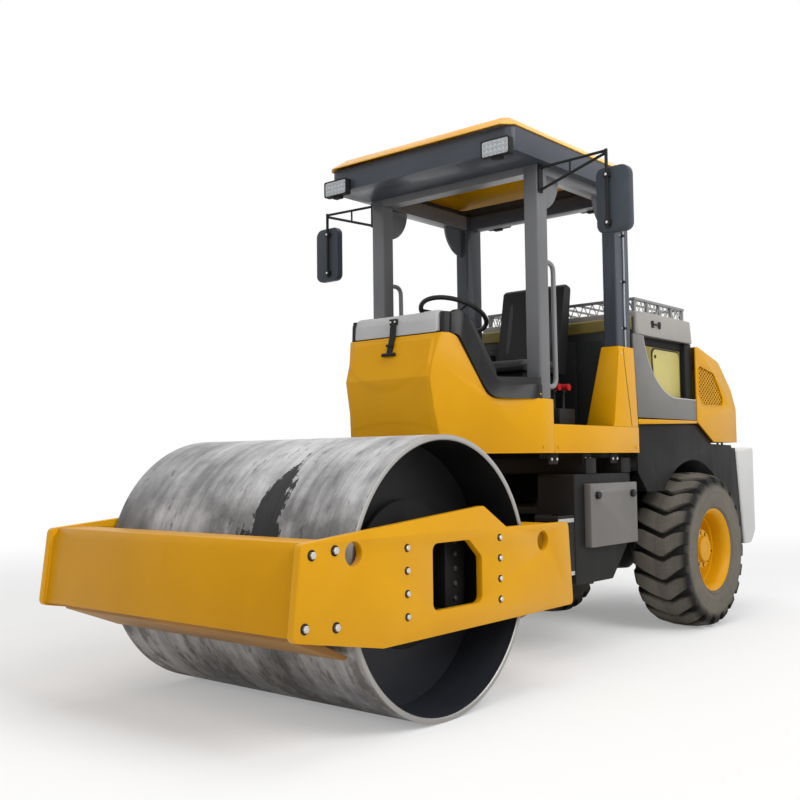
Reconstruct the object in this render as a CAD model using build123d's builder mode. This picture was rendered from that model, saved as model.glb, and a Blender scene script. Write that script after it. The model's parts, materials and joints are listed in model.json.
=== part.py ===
from build123d import *
import math
import os

# Single-drum soil roller, articulated in the middle, millimetres.
# +X points forward, +Y to the machine's left, +Z up; the origin is on the ground under the middle.
os.makedirs("parts", exist_ok=True)

# ---------------------------------------------------------------- driving dimensions
# Lengths along the machine
wheelbase = 3145  # drum axis to rear axle
nose_reach = 1017  # drum axis to the front end of the side plates
tail_reach = 1175  # rear axle to the back of the counterweight
pivot_back = 1495  # drum axis to the articulation pivot

# Drum
drum_d = 1300
drum_w = 1700
drum_wall = 25
head_inset = 290  # end of the drum to the outer face of its head
head_wall = 22
journal_r = 90

# Drum frame
plate_wall = 36
plate_gap = 18  # end of the drum to the inner face of a side plate
plate_hole_r = 50
beam_wall = 18
window_front = 169
window_back = -200
window_low = 516
window_high = 813

# Tyres
tyre_d = 1075
tyre_w = 410
tyre_y = 583  # middle plane of a tyre
rim_r = 262
rim_flange_r = 286
lug_count = 21
lug_depth = 34
groove_w = 26

# Platform and bodywork
body_half = 650
nose_half = 315
sheet = 12
skirt_z = 1215
deck_z = 1342
sill_z = 1380
waist_z = 1522
nose_top_z = 1880
hood_sill_z = 1430

# Roll-over frame and roof
post_w = 100
front_post_d = 102
rear_post_d = 177
roof_z = 3076
eave_z = 3006
fascia_low_z = 2868
roof_half = body_half + 50

# Articulation
pin_r = 45
run_gap = 0.3  # radial clearance of turning fits
trunnion_r = 90
arm_y = 190  # steering pins beside the pivot
arm_x = 60  # steering pins ahead of the pivot
cylinder_span = 640  # barrel pin to rod pin when straight
barrel_r = 46
rod_r = 24

# Side plate in the drum's own frame: corners as (ahead of the drum axis, height)
plate_outline = [
    (nose_reach, 498),
    (972, 866),
    (-220, 964),
    (-409, 854),
    (-977, 850),
    (-1014, 417),
    (500, 405),
]
plate_corner_r = 28
plate_holes = [(678, 807), (-729, 766)]
window_outline = [
    (window_front, window_low),
    (window_front, window_high),
    (window_back + 96, window_high),
    (window_back, window_high - 84),
    (window_back, window_low),
]
with BuildSketch() as window_shape:
    with BuildLine():
        Polyline(window_outline, close=True)
    make_face()
    fillet(window_shape.vertices(), 36)
with BuildSketch() as plate_shape:
    with BuildLine():
        Polyline(plate_outline, close=True)
    make_face()
    fillet(plate_shape.vertices(), plate_corner_r)
    add(window_shape.sketch, mode=Mode.SUBTRACT)
    with Locations(plate_holes):
        Circle(plate_hole_r, mode=Mode.SUBTRACT)

# ---------------------------------------------------------------- stations
# The machine's middle lies halfway between the plates' rounded front corner and the rear weight
drum_x = (wheelbase + tail_reach - plate_shape.sketch.bounding_box().max.X) / 2
axle_x = drum_x - wheelbase
pivot_x = drum_x - pivot_back
drum_z = drum_d / 2
axle_z = tyre_d / 2
plate_in = drum_w / 2 + plate_gap
plate_out = plate_in + plate_wall
gap = 6  # between panels that move past each other
front_post_x = pivot_x + 329
rear_post_x = pivot_x - 573
sill_back_x = pivot_x - 480
skirt_back_x = pivot_x - 805
bulkhead_x = skirt_back_x - 30
post_y = body_half - sheet - 1  # outer faces of the roof posts
post_in = post_y - post_w
base_in = body_half - 200  # inner faces of the fairings at the rear posts' feet

pieces = {}


def keep(builder, label):
    """Label a finished piece and write it to its own file."""
    builder.part.label = label
    export_step(builder.part, f"parts/{label}.step")
    pieces[label] = builder


def side_view(y):
    """Plane of a side view, X to the right and Z up, looking from the machine's right, at height y."""
    return Plane.XZ.offset(-y)


# ---------------------------------------------------------------- drum frame
with BuildPart() as side_plates:
    with BuildSketch(side_view(plate_out)):
        with Locations((drum_x, 0)):
            add(plate_shape.sketch)
    extrude(amount=plate_wall)
    mirror(about=Plane.XZ)
keep(side_plates, "side_plates")

# Front beam: a folded channel between the plates, its face parallel to their front edges
beam_face = [(nose_reach - 16, 508), (962, 826), (930, 868), (775, 868)]
with BuildPart() as front_beam:
    with BuildSketch(side_view(plate_in)):
        with BuildLine():
            Polyline([(drum_x + x, z) for x, z in [(790, 508), *beam_face]])
            offset(amount=beam_wall, side=Side.LEFT, kind=Kind.INTERSECTION)
        make_face()
    extrude(amount=2 * plate_in)
    # End plates that bolt to the side plates
    for y in (plate_in, -plate_in + beam_wall):
        with BuildSketch(side_view(y)):
            with BuildLine():
                Polyline([(drum_x + x, z) for x, z in [(775, 508), *beam_face]], close=True)
            make_face()
        extrude(amount=beam_wall)
keep(front_beam, "front_beam")

# Rear beam: a welded box between the plates with the bearing tube of the trunnion on it
rear_beam_front = drum_x - 785
rear_beam_back = drum_x - 975
bearing_back = pivot_x + 330
with BuildPart() as rear_beam:
    with Locations(((rear_beam_front + rear_beam_back) / 2, 0, 645)):
        Box(rear_beam_front - rear_beam_back, 2 * plate_in, 390)
        Box(rear_beam_front - rear_beam_back - 2 * beam_wall, 2 * plate_in - 2 * beam_wall,
            390 - 2 * beam_wall, mode=Mode.SUBTRACT)
    with BuildSketch(Plane.YZ.offset(bearing_back)):
        with Locations((0, drum_z)):
            Circle(trunnion_r + 50)
    extrude(amount=rear_beam_front - bearing_back)
    # Gussets that spread the tube's load into the box
    for side in (1, -1):
        with BuildSketch(Plane.XY.offset(drum_z - 10)):
            with BuildLine():
                Polyline(
                    (rear_beam_back + 5, side * 130),
                    (rear_beam_back + 5, side * 420),
                    (bearing_back + 20, side * 130),
                    close=True,
                )
            make_face()
        extrude(amount=20)
    with BuildSketch(Plane.YZ.offset(bearing_back - 1)):
        with Locations((0, drum_z)):
            Circle(trunnion_r + run_gap)
    extrude(amount=rear_beam_front - bearing_back + 2, mode=Mode.SUBTRACT)
keep(rear_beam, "rear_beam")

# Scrapers: a bent bar under each beam whose tip stays just off the drum
scraper_gap = 14
scraper_half = 800
tip_angle = 24.5  # below the drum axis
tip_r = drum_d / 2 + scraper_gap
tip_x = tip_r * math.cos(math.radians(tip_angle))
tip_z = drum_z - tip_r * math.sin(math.radians(tip_angle))
scrapers_table = [
    # (way it faces, points at the beam as (along from the drum axis, height))
    (1, [(930, 478), (930, 506), (884, 506)]),
    (-1, [(870, 416), (870, 444), (824, 444)]),
]
with BuildPart() as scrapers:
    for way, held in scrapers_table:
        with BuildSketch(side_view(scraper_half)):
            with BuildLine():
                bar = [(tip_x, tip_z), (tip_x + 26, tip_z - 12), *held]
                Polyline([(drum_x + way * x, z) for x, z in bar], close=True)
            make_face()
        extrude(amount=2 * scraper_half)
keep(scrapers, "scrapers")

# Drum mounts: a hat-shaped bracket on each side plate and the bearing plate that its buffers carry
mount_long = 780
mount_high = 380
mount_depth = 214
mount_wall = 20
mount_z = 660
buffer_len = 42
bearing_plate_t = 22
hat_in = plate_in - mount_depth
bearing_in = hat_in - buffer_len - bearing_plate_t
journal_end = bearing_in + bearing_plate_t - 6  # clear of the buffers on the plate's far side
with BuildPart() as drum_mounts:
    with BuildSketch(side_view(plate_in)):
        with Locations((drum_x, mount_z)):
            RectangleRounded(mount_long, mount_high, 70)
    extrude(amount=mount_depth)
    with BuildSketch(side_view(plate_in)):
        with Locations((drum_x, mount_z)):
            RectangleRounded(mount_long - 2 * mount_wall, mount_high - 2 * mount_wall, 52)
    extrude(amount=mount_depth - mount_wall, mode=Mode.SUBTRACT)
    with BuildSketch(side_view(hat_in - buffer_len)):
        with Locations((drum_x, drum_z)):
            Circle(350)
            Circle(journal_r + run_gap, mode=Mode.SUBTRACT)
    extrude(amount=bearing_plate_t)
    mirror(about=Plane.XZ)
keep(drum_mounts, "drum_mounts")

with BuildPart() as buffers:
    with BuildSketch(side_view(hat_in)):
        with Locations((drum_x, mount_z)):
            with GridLocations(240, 230, 3, 2):
                Circle(52)
    extrude(amount=buffer_len)
    mirror(about=Plane.XZ)
keep(buffers, "buffers")

# ---------------------------------------------------------------- drum
with BuildPart() as drum_shell:
    with BuildSketch(side_view(drum_w / 2)):
        with Locations((drum_x, drum_z)):
            Circle(drum_d / 2)
            Circle(drum_d / 2 - drum_wall, mode=Mode.SUBTRACT)
    extrude(amount=drum_w)
keep(drum_shell, "drum_shell")

head_out = drum_w / 2 - head_inset
with BuildPart() as drum_heads:
    with BuildSketch(side_view(head_out)):
        with Locations((drum_x, drum_z)):
            Circle(drum_d / 2 - drum_wall)
    extrude(amount=head_wall)
    with BuildSketch(side_view(journal_end)):
        with Locations((drum_x, drum_z)):
            Circle(journal_r)
    extrude(amount=journal_end)
    with BuildSketch(side_view(head_out + 8)):
        with Locations((drum_x, drum_z)):
            Circle(journal_r + 60)
    extrude(amount=8)
    mirror(about=Plane.XZ)
keep(drum_heads, "drum_heads")

# ---------------------------------------------------------------- hitch
ear_low_z = 432
ear_high_z = 850
ear_wall = 40
post_low = ear_low_z + ear_wall + 10
post_high = ear_high_z - 10
hitch_face = bearing_back - 12
fork_gap = 72  # between the two steering arm plates
fork_wall = 24
with BuildPart() as hitch:
    with BuildSketch(Plane.XY.offset(post_low)):
        with Locations((pivot_x, 0)):
            Circle(118)
    extrude(amount=post_high - post_low)
    with Locations(((pivot_x + hitch_face) / 2, 0, drum_z)):
        Box(hitch_face - pivot_x, 190, 300)
    with BuildSketch(Plane.YZ.offset(hitch_face - 50)):
        with Locations((0, drum_z)):
            Circle(trunnion_r + 60)
    extrude(amount=50)
    with BuildSketch(Plane.YZ.offset(hitch_face)):
        with Locations((0, drum_z)):
            Circle(trunnion_r)
    extrude(amount=rear_beam_front - 20 - hitch_face)
    # Steering arms: two plates, with the fork between them open for the rod eyes
    for z in (drum_z + fork_gap / 2, drum_z - fork_gap / 2 - fork_wall):
        with BuildSketch(Plane.XY.offset(z)):
            with Locations((pivot_x + arm_x, 0)):
                SlotCenterToCenter(2 * arm_y, 104, rotation=90)
        extrude(amount=fork_wall)
    with BuildSketch(Plane.XY.offset(post_low - 1)):
        with Locations((pivot_x, 0)):
            Circle(pin_r + run_gap)
    extrude(amount=post_high - post_low + 2, mode=Mode.SUBTRACT)
    # Caps of the steering pins
    for z, way in ((drum_z + fork_gap / 2 + fork_wall, 1), (drum_z - fork_gap / 2 - fork_wall, -1)):
        with BuildSketch(Plane.XY.offset(z)):
            with Locations((pivot_x + arm_x, arm_y), (pivot_x + arm_x, -arm_y)):
                Circle(30)
        extrude(amount=way * 14)
keep(hitch, "hitch")

# ---------------------------------------------------------------- steering cylinders
barrel_pin_x = pivot_x + arm_x - cylinder_span
rod_pin_x = pivot_x + arm_x
eye_r = 44
eye_t = 50
pin_small_r = 20
bore_start = barrel_pin_x + 75
barrel_front = barrel_pin_x + 415
gland = 40
piston_t = 26
bore_mid = (bore_start + barrel_front - gland) / 2
for side, y in (("left", arm_y), ("right", -arm_y)):
    with BuildPart() as barrel:
        with BuildSketch(Plane.YZ.offset(barrel_pin_x + eye_r + 4)):
            with Locations((y, drum_z)):
                Circle(barrel_r)
        extrude(amount=barrel_front - barrel_pin_x - eye_r - 4)
        with BuildSketch(Plane.YZ.offset(bore_start)):
            with Locations((y, drum_z)):
                Circle(barrel_r - 9)
        extrude(amount=barrel_front - gland - bore_start, mode=Mode.SUBTRACT)
        with BuildSketch(Plane.YZ.offset(barrel_front - gland - 1)):
            with Locations((y, drum_z)):
                Circle(rod_r + run_gap)
        extrude(amount=gland + 2, mode=Mode.SUBTRACT)
        with BuildSketch(Plane.XY.offset(drum_z - eye_t / 2)):
            with Locations((barrel_pin_x, y)):
                Circle(eye_r)
            with Locations((barrel_pin_x + eye_r / 2 + 3, y)):
                Rectangle(eye_r + 6, 60)
            with Locations((barrel_pin_x, y)):
                Circle(pin_small_r + run_gap, mode=Mode.SUBTRACT)
        extrude(amount=eye_t)
    keep(barrel, f"cylinder_barrel_{side}")

    with BuildPart() as rod:
        with BuildSketch(Plane.YZ.offset(bore_mid - piston_t / 2)):
            with Locations((y, drum_z)):
                Circle(barrel_r - 9 - run_gap)
        extrude(amount=piston_t)
        with BuildSketch(Plane.YZ.offset(bore_mid)):
            with Locations((y, drum_z)):
                Circle(rod_r)
        extrude(amount=rod_pin_x - eye_r + 8 - bore_mid)
        with BuildSketch(Plane.XY.offset(drum_z - eye_t / 2)):
            with Locations((rod_pin_x, y)):
                Circle(eye_r)
        extrude(amount=eye_t)
    keep(rod, f"cylinder_rod_{side}")

# ---------------------------------------------------------------- chassis
rail_out = 345
rail_wall = 28
rail_top = 1090
rail_low = 432
rail_back = axle_x - 755
axle_clear_z = axle_z + 110
hood_pin_x = axle_x - 715
hood_pin_z = 1300
hood_pin_r = 12
hood_lug_y = rail_out + 1  # inner faces of the hood's hinge lugs
# Rail outline as (x, z)
rail_outline = [
    (pivot_x - 65, rail_low),
    (pivot_x - 65, ear_high_z + ear_wall),
    (pivot_x - 205, rail_top),
    (rail_back, rail_top),
    (rail_back, axle_clear_z),
    (axle_x + 560, axle_clear_z),
    (axle_x + 745, rail_low),
]
cross_x = pivot_x - 745
with BuildPart() as chassis:
    for y in (rail_out, -rail_out + rail_wall):
        with BuildSketch(side_view(y)):
            with BuildLine():
                Polyline(rail_outline, close=True)
            make_face()
        extrude(amount=rail_wall)
    # Ears above and below the hitch, each with a round nose about the pivot pin
    for z in (ear_low_z, ear_high_z):
        with BuildSketch(Plane.XY.offset(z)):
            with BuildLine():
                Polyline(
                    (cross_x, rail_out - 5),
                    (pivot_x - 65, rail_out - 5),
                    (pivot_x + 20, 100),
                    (pivot_x + 20, -100),
                    (pivot_x - 65, -rail_out + 5),
                    (cross_x, -rail_out + 5),
                    close=True,
                )
            make_face()
            with Locations((pivot_x, 0)):
                Circle(105)
                Circle(pin_r, mode=Mode.SUBTRACT)
        extrude(amount=ear_wall)
    # Cross plate behind the steering cylinders, with their pin brackets
    with Locations((cross_x - 15, 0, (ear_low_z + rail_top) / 2)):
        Box(30, 2 * rail_out - 10, rail_top - ear_low_z)
    for z in (drum_z + eye_t / 2 + 5, drum_z - eye_t / 2 - 5 - 22):
        for y in (arm_y, -arm_y):
            with BuildSketch(Plane.XY.offset(z)):
                with Locations(((cross_x + barrel_pin_x) / 2, y)):
                    Rectangle(barrel_pin_x - cross_x, 90)
                with Locations((barrel_pin_x, y)):
                    Circle(45)
            extrude(amount=22)
    with BuildSketch(Plane.XY.offset(drum_z - eye_t / 2 - 5)):
        with Locations((barrel_pin_x, arm_y), (barrel_pin_x, -arm_y)):
            Circle(pin_small_r)
    extrude(amount=eye_t + 10)
    # Cross members under the engine and at the back
    for x in (axle_x + 330, axle_x - 330, rail_back + 15):
        with Locations((x, 0, (axle_clear_z + 30 + rail_top) / 2)):
            Box(30, 2 * rail_out - 10, rail_top - axle_clear_z - 40)
    # Goosenecks that carry the hood's hinge pins, standing on the rails
    for side in (1, -1):
        with BuildSketch(side_view(side * (rail_out - 14) + 10)):
            with BuildLine():
                Polyline(
                    (hood_pin_x, hood_pin_z + 18), (hood_pin_x, hood_pin_z - 18), (hood_pin_x + 60, hood_pin_z - 45),
                    (hood_pin_x + 60, rail_top - 5), (hood_pin_x + 130, rail_top - 5),
                    (hood_pin_x + 130, hood_pin_z - 10), close=True,
                )
            make_face()
            with Locations((hood_pin_x, hood_pin_z)):
                Circle(18)
        extrude(amount=20)
        with BuildSketch(side_view(side * (rail_out - 14))):
            with Locations((hood_pin_x, hood_pin_z)):
                Circle(hood_pin_r)
        extrude(amount=-side * 34)
    # Platform beams across the rails
    for x in (pivot_x - 260, pivot_x - 700):
        with Locations((x, 0, (rail_top + skirt_z) / 2 - 15)):
            Box(120, 2 * (body_half - 45), skirt_z - rail_top - 30)
keep(chassis, "chassis")

with BuildPart() as pivot_pin:
    with BuildSketch(Plane.XY.offset(ear_low_z - 12)):
        with Locations((pivot_x, 0)):
            Circle(pin_r)
    extrude(amount=ear_high_z + ear_wall + 24 - ear_low_z)
    with BuildSketch(Plane.XY.offset(ear_high_z + ear_wall)):
        with Locations((pivot_x, 0)):
            Circle(pin_r + 25)
    extrude(amount=16)
keep(pivot_pin, "pivot_pin")

# ---------------------------------------------------------------- rear axle
wheel_in = tyre_y - tyre_w / 2  # inner plane of a tyre
hub_face = tyre_y - 46  # outer face of the axle's wheel flange, just inside the rim's disc
axle_line = Axis((axle_x, 0, axle_z), (0, 1, 0))
# Half of the axle housing: (from the middle plane, radius)
axle_profile = [
    (0, 0),
    (0, 175),
    (95, 165),
    (170, 96),
    (hub_face - 30, 96),
    (hub_face - 30, 150),
    (hub_face, 150),
    (hub_face, 0),
]
with BuildPart() as rear_axle:
    with BuildSketch(Plane.YZ.offset(axle_x)):
        with BuildLine():
            Polyline([(y, axle_z + r) for y, r in axle_profile], close=True)
        make_face()
    revolve(axis=axle_line)
    mirror(about=Plane.XZ)
    for y in (rail_out - rail_wall / 2, -rail_out + rail_wall / 2):
        with Locations((axle_x, y, (axle_z + axle_clear_z) / 2 + 30)):
            Box(220, 90, axle_clear_z - axle_z - 60)
keep(rear_axle, "rear_axle")

# ---------------------------------------------------------------- wheels
# The tyre is a ring of flats, two to a lug, with one flat on the ground
tread_r = tyre_d / 2
flats = 2 * lug_count
carcass_r = tread_r - lug_depth - 40
# Rows as (from the tyre's middle plane, radius): outside of one half, then the bead that seats on the rim
tyre_rows = [
    (tyre_w / 2 - 22, rim_flange_r + 2),
    (tyre_w / 2 - 1, rim_r + 70),
    (tyre_w / 2, rim_r + 130),
    (tyre_w / 2 - 14, tread_r - 50),
    (tyre_w / 2 - 75, tread_r),
]
bead_rows = [
    (tyre_w / 2 - 21, rim_flange_r + 2.4),
    (tyre_w / 2 - 36, rim_flange_r - 4),
    (tyre_w / 2 - 42, rim_r + 2),
    (tyre_w / 2 - 60, rim_r + 2),
]
# Centre line of a groove across the tread: (across, along)
groove_line = [(-235, 34), (-62, -20), (62, 20), (235, -34)]


def wheel_flats(y, radius):
    """Outline of the wheel's ring of flats at a distance from the middle plane, by its inner radius."""
    with BuildSketch(side_view(y)) as outline:
        with Locations((axle_x, axle_z)):
            RegularPolygon(radius, flats, major_radius=False, rotation=-90 + 180 / flats)
    return outline.sketch


def flats_loft(rows):
    """Solid through the wheel's outlines at a list of (from the tyre's middle plane, radius) rows."""
    with BuildPart() as body:
        loft([wheel_flats(tyre_y + y, radius).face() for y, radius in rows], ruled=True)
    return body.part


both_rows = [(-y, r) for y, r in tyre_rows] + list(reversed(tyre_rows))
# One wavy groove under the tyre, and its copies round the tread; what stays between them are the lugs
with BuildPart() as groove:
    with BuildSketch(Plane.XY.offset(axle_z - tread_r - 20)):
        with BuildLine():
            Polyline([(axle_x + t, tyre_y + s) for s, t in groove_line])
            offset(amount=groove_w, side=Side.LEFT)
        make_face()
    extrude(amount=20 + lug_depth)
grooves = [groove.part.rotate(axle_line, 360 / lug_count * (i + 0.5)) for i in range(lug_count)]
with BuildPart() as tyre_left:
    add(flats_loft(both_rows))
    add(flats_loft(bead_rows), mode=Mode.SUBTRACT)
    add(flats_loft([(-y, r) for y, r in bead_rows]), mode=Mode.SUBTRACT)
    add(flats_loft([(y, carcass_r) for y in (60 - tyre_w / 2, tyre_w / 2 - 60)]), mode=Mode.SUBTRACT)
    add(grooves, mode=Mode.SUBTRACT)
keep(tyre_left, "tyre_left")

# Rim section as (outward from the tyre's middle plane, radius): well, flanges and dished disc
rim_section = [
    (-tyre_w / 2 + 22, rim_flange_r),
    (-tyre_w / 2 + 40, rim_r + 1),
    (tyre_w / 2 - 40, rim_r + 1),
    (tyre_w / 2 - 22, rim_flange_r),
    (tyre_w / 2 - 32, rim_r - 12),
    (20, rim_r - 20),
    (-14, 190),
    (-14, 0),
    (-40, 0),
    (-40, 200),
    (-26, rim_r - 14),
    (-tyre_w / 2 + 32, rim_r - 12),
]
# Planetary hub standing out of the disc, as (outward start, length, radius)
hub_steps = [(-14, 70, 118), (56, 18, 72)]
with BuildPart() as rim_left:
    with BuildSketch(Plane.YZ.offset(axle_x)):
        with BuildLine():
            Polyline([(tyre_y + y, axle_z + r) for y, r in rim_section], close=True)
        make_face()
    revolve(axis=axle_line)
    for start, long, radius in hub_steps:
        with BuildSketch(side_view(tyre_y + start)):
            with Locations((axle_x, axle_z)):
                Circle(radius)
        extrude(amount=-long)
keep(rim_left, "rim_left")

for wheel_piece, label in ((tyre_left, "tyre_right"), (rim_left, "rim_right")):
    with BuildPart() as twin:
        mirror(wheel_piece.part, about=Plane.XZ)
    keep(twin, label)

# ---------------------------------------------------------------- rear weight, fenders
weight_front = axle_x - 770
weight_back = axle_x - tail_reach
weight_half = body_half - 10
weight_outline = [
    (weight_front, 1228),
    (weight_back, 1258),
    (weight_back, 680),
    (axle_x - 1010, 512),
    (axle_x - 880, 512),
]
with BuildPart() as counterweight:
    with BuildSketch(side_view(weight_half)):
        with BuildLine():
            Polyline(weight_outline, close=True)
        make_face()
    extrude(amount=2 * weight_half)
    fillet(counterweight.edges().filter_by(GeomType.LINE).group_by(Axis.X)[0].filter_by(Axis.Z), 110)
keep(counterweight, "counterweight")

fender_r = tread_r + 95
fender_wall = 10
fender_y = body_half - 22
fender_front = skirt_back_x - 15
fender_low_z = 958
fender_outline = [
    (fender_front, hood_sill_z - 14),
    (axle_x - 62, hood_sill_z - 14),
    (axle_x - 330, 1278),
    (axle_x - 690, 1271),
    (axle_x - 700, 1250),
    (weight_front + 4, 1250),
    (weight_front + 4, 1226),
    (axle_x - 870, 516),
    (axle_x - 700, 516),
    (axle_x - 700, axle_z),
    (axle_x, axle_z),
    (axle_x, fender_low_z),
    (fender_front - 132, fender_low_z),
    (fender_front, 1090),
]
with BuildPart() as fenders:
    with BuildSketch(side_view(fender_y)):
        with BuildLine():
            Polyline(fender_outline, close=True)
        make_face()
        with Locations((axle_x, axle_z)):
            Circle(fender_r, mode=Mode.SUBTRACT)
    extrude(amount=fender_wall)
    # Mudguard over the tread, between the skirt and the chassis rail
    with BuildSketch(side_view(fender_y)):
        with BuildLine():
            CenterArc((axle_x, axle_z), fender_r, 42, 88)
            offset(amount=8, side=Side.LEFT)
        make_face()
    extrude(amount=fender_y - rail_out)
    mirror(about=Plane.XZ)
keep(fenders, "fenders")

# ---------------------------------------------------------------- boxes and steps beside the chassis
box_front = pivot_x - 60
box_back = pivot_x - 755
box_half = body_half - 48
box_outline = [(box_front, 436), (box_front, 1088), (box_back, 1088), (box_back, 690), (box_back + 250, 436)]
for name, side in (("battery_box", 1), ("fuel_tank", -1)):
    with BuildPart() as side_box:
        with BuildSketch(side_view(box_half if side > 0 else -rail_out - 2)):
            with BuildLine():
                Polyline(box_outline, close=True)
            make_face()
        extrude(amount=box_half - rail_out - 2)
        fillet(side_box.edges().filter_by(Axis.Y), 18)
    keep(side_box, name)

cover_long = 584
cover_high = 380
cover_z = 840
with BuildPart() as battery_cover:
    with BuildSketch(side_view(body_half)):
        with Locations((box_back + cover_long / 2 + 1, cover_z)):
            RectangleRounded(cover_long, cover_high, 10)
    extrude(amount=body_half - box_half)
    # Knobs near its upper corners
    with BuildSketch(side_view(body_half)):
        with Locations((box_back + cover_long / 2 + 1, cover_z + cover_high / 2 - 70)):
            with GridLocations(cover_long - 144, 1, 2, 1):
                Circle(22)
    extrude(amount=-18)
keep(battery_cover, "battery_cover")

# Boarding steps: two treads between two hangers, fixed to the front of each side box
step_long = 185
step_out = box_half - 4
step_in = step_out - 158
with BuildPart() as steps:
    for z in (520, 830):
        with Locations((box_front + step_long / 2, (step_in + step_out) / 2, z)):
            Box(step_long, step_out - step_in, 22)
    for y in (step_in + 5, step_out - 5):
        with BuildSketch(side_view(y + 5)):
            with BuildLine():
                Polyline(
                    (box_front, 500), (box_front + step_long, 500), (box_front + step_long, 545),
                    (box_front + 90, 680), (box_front + step_long, 800), (box_front + step_long, 850),
                    (box_front, 850), close=True,
                )
            make_face()
        extrude(amount=10)
    mirror(about=Plane.XZ)
keep(steps, "steps")

# ---------------------------------------------------------------- cowl, platform and floor
nose_x = pivot_x + 928
flare_x = pivot_x + 385
split_x = front_post_x - front_post_d - 3
slope_top_x = nose_x - 139
slope_low_x = nose_x - 298
# Outline of the yellow body from the side: (x, z)
tub_side = [
    (nose_x - 73, skirt_z),
    (nose_x, 1635),
    (nose_x - 69, nose_top_z),
    (slope_top_x, nose_top_z),
    (slope_low_x, waist_z),
    (split_x, waist_z),
    (split_x, sill_z),
    (skirt_back_x, sill_z),
    (skirt_back_x, skirt_z),
]


def plan(inset, front):
    """Corners of the body seen from above, moved in by an inset, its nose front at a given x."""
    half = nose_half - inset
    wide = body_half - inset
    flare = inset * 0.33
    return [
        (front, half),
        (nose_x - 33 - flare, half),
        (flare_x - flare, wide),
        (skirt_back_x - 60, wide),
        (skirt_back_x - 60, -wide),
        (flare_x - flare, -wide),
        (nose_x - 33 - flare, -half),
        (front, -half),
    ]


with BuildPart() as tub:
    with BuildSketch(Plane.XY.offset(skirt_z)):
        with BuildLine():
            Polyline(plan(0, nose_x + 20), close=True)
        make_face()
    extrude(amount=nose_top_z - skirt_z)
    with BuildSketch(side_view(body_half)) as tub_profile:
        with BuildLine():
            Polyline(tub_side, close=True)
        make_face()
        fillet(tub_profile.vertices().group_by(Axis.Y)[-1].sort_by(Axis.X)[0], 60)
        fillet(tub_profile.vertices().sort_by(Axis.X).filter_by(
            lambda v: abs(v.X - slope_low_x) < 1 and abs(v.Y - waist_z) < 1), 70)
    extrude(amount=2 * body_half, mode=Mode.INTERSECT)

# What is cut out of it: the space above the floor and the space below it
with BuildPart() as tub_space:
    with BuildSketch(Plane.XY.offset(skirt_z - 1)):
        with BuildLine():
            Polyline(plan(sheet, nose_x + 20), close=True)
        make_face()
    extrude(amount=nose_top_z - skirt_z + 200)
    with BuildSketch(side_view(body_half)):
        for low, high in ((skirt_z - 1, deck_z - sheet), (deck_z, nose_top_z + 199)):
            with BuildLine():
                front_low = nose_x - 73 + 73 * (min(low, 1635) - skirt_z) / (1635 - skirt_z) - sheet
                front_high = nose_x - 73 + 73 * (min(high, 1635) - skirt_z) / (1635 - skirt_z) - sheet
                Polyline(
                    [(skirt_back_x - 60, low), (front_low, low), (front_high, min(high, 1635))]
                    + ([(nose_x - 69 - sheet, nose_top_z), (nose_x - 69 - sheet, high)] if high > 1700 else [])
                    + [(skirt_back_x - 60, high)],
                    close=True,
                )
            make_face()
    extrude(amount=2 * body_half, mode=Mode.INTERSECT)

with BuildPart() as cowl:
    add(tub.part)
    add(tub_space.part, mode=Mode.SUBTRACT)
    split(bisect_by=Plane.YZ.offset(split_x), keep=Keep.TOP)
keep(cowl, "cowl")

with BuildPart() as platform:
    add(tub.part)
    add(tub_space.part, mode=Mode.SUBTRACT)
    split(bisect_by=Plane.YZ.offset(split_x), keep=Keep.BOTTOM)
keep(platform, "platform")

lid_hinge_x = nose_x - 198
lid_hinge_z = 1958
lid_hinge_y = nose_half - 95
lid_pin_r = 4
# Black liner: the dash panel across the nose and a cheek inside each flared side
liner_wall = 24
liner_top = 1640
dash_line = [
    (nose_x - 206, 1946),
    (nose_x - 226, 1905),
    (nose_x - 323, 1670),
    (nose_x - 340, deck_z + 4),
]
with BuildPart() as liner_cheeks:
    with BuildSketch(Plane.XY.offset(deck_z)):
        with BuildLine():
            Polyline(plan(sheet + 1, nose_x + 20), close=True)
        make_face()
        with BuildLine():
            Polyline(plan(sheet + 1 + liner_wall, nose_x + 30), close=True)
        make_face(mode=Mode.SUBTRACT)
    extrude(amount=700)
    with BuildSketch(side_view(body_half)):
        with BuildLine():
            Polyline(
                (nose_x - 96, 1998), (nose_x - 140, 1996), (nose_x - 222, 1905), (nose_x - 320, 1690),
                (nose_x - 352, liner_top),
                (front_post_x + 2, liner_top), (front_post_x + 2, deck_z), (nose_x - 96, deck_z), close=True,
            )
        make_face()
    extrude(amount=2 * body_half, mode=Mode.INTERSECT)
with BuildPart() as cowl_liner:
    with BuildSketch(Plane.XY.offset(deck_z)):
        with BuildLine():
            Polyline(plan(sheet + 1, nose_x + 20), close=True)
        make_face()
    extrude(amount=700)
    with BuildSketch(side_view(body_half)):
        with BuildLine():
            Polyline(dash_line)
            offset(amount=liner_wall, side=Side.RIGHT, kind=Kind.INTERSECTION)
        make_face()
    extrude(amount=2 * body_half, mode=Mode.INTERSECT)
    add(liner_cheeks.part)
    # Brackets with the pins that the lid turns on
    for side in (1, -1):
        with BuildSketch(side_view(side * lid_hinge_y + 5)):
            with BuildLine():
                Polyline(
                    (lid_hinge_x - 7, lid_hinge_z), (lid_hinge_x + 7, lid_hinge_z),
                    (lid_hinge_x + 4, lid_hinge_z - 40), (lid_hinge_x - 30, lid_hinge_z - 60), close=True,
                )
            make_face()
            with Locations((lid_hinge_x, lid_hinge_z)):
                Circle(7)
        extrude(amount=10)
        with BuildSketch(side_view(side * lid_hinge_y)):
            with Locations((lid_hinge_x, lid_hinge_z)):
                Circle(lid_pin_r)
        extrude(amount=-side * 36)
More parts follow.
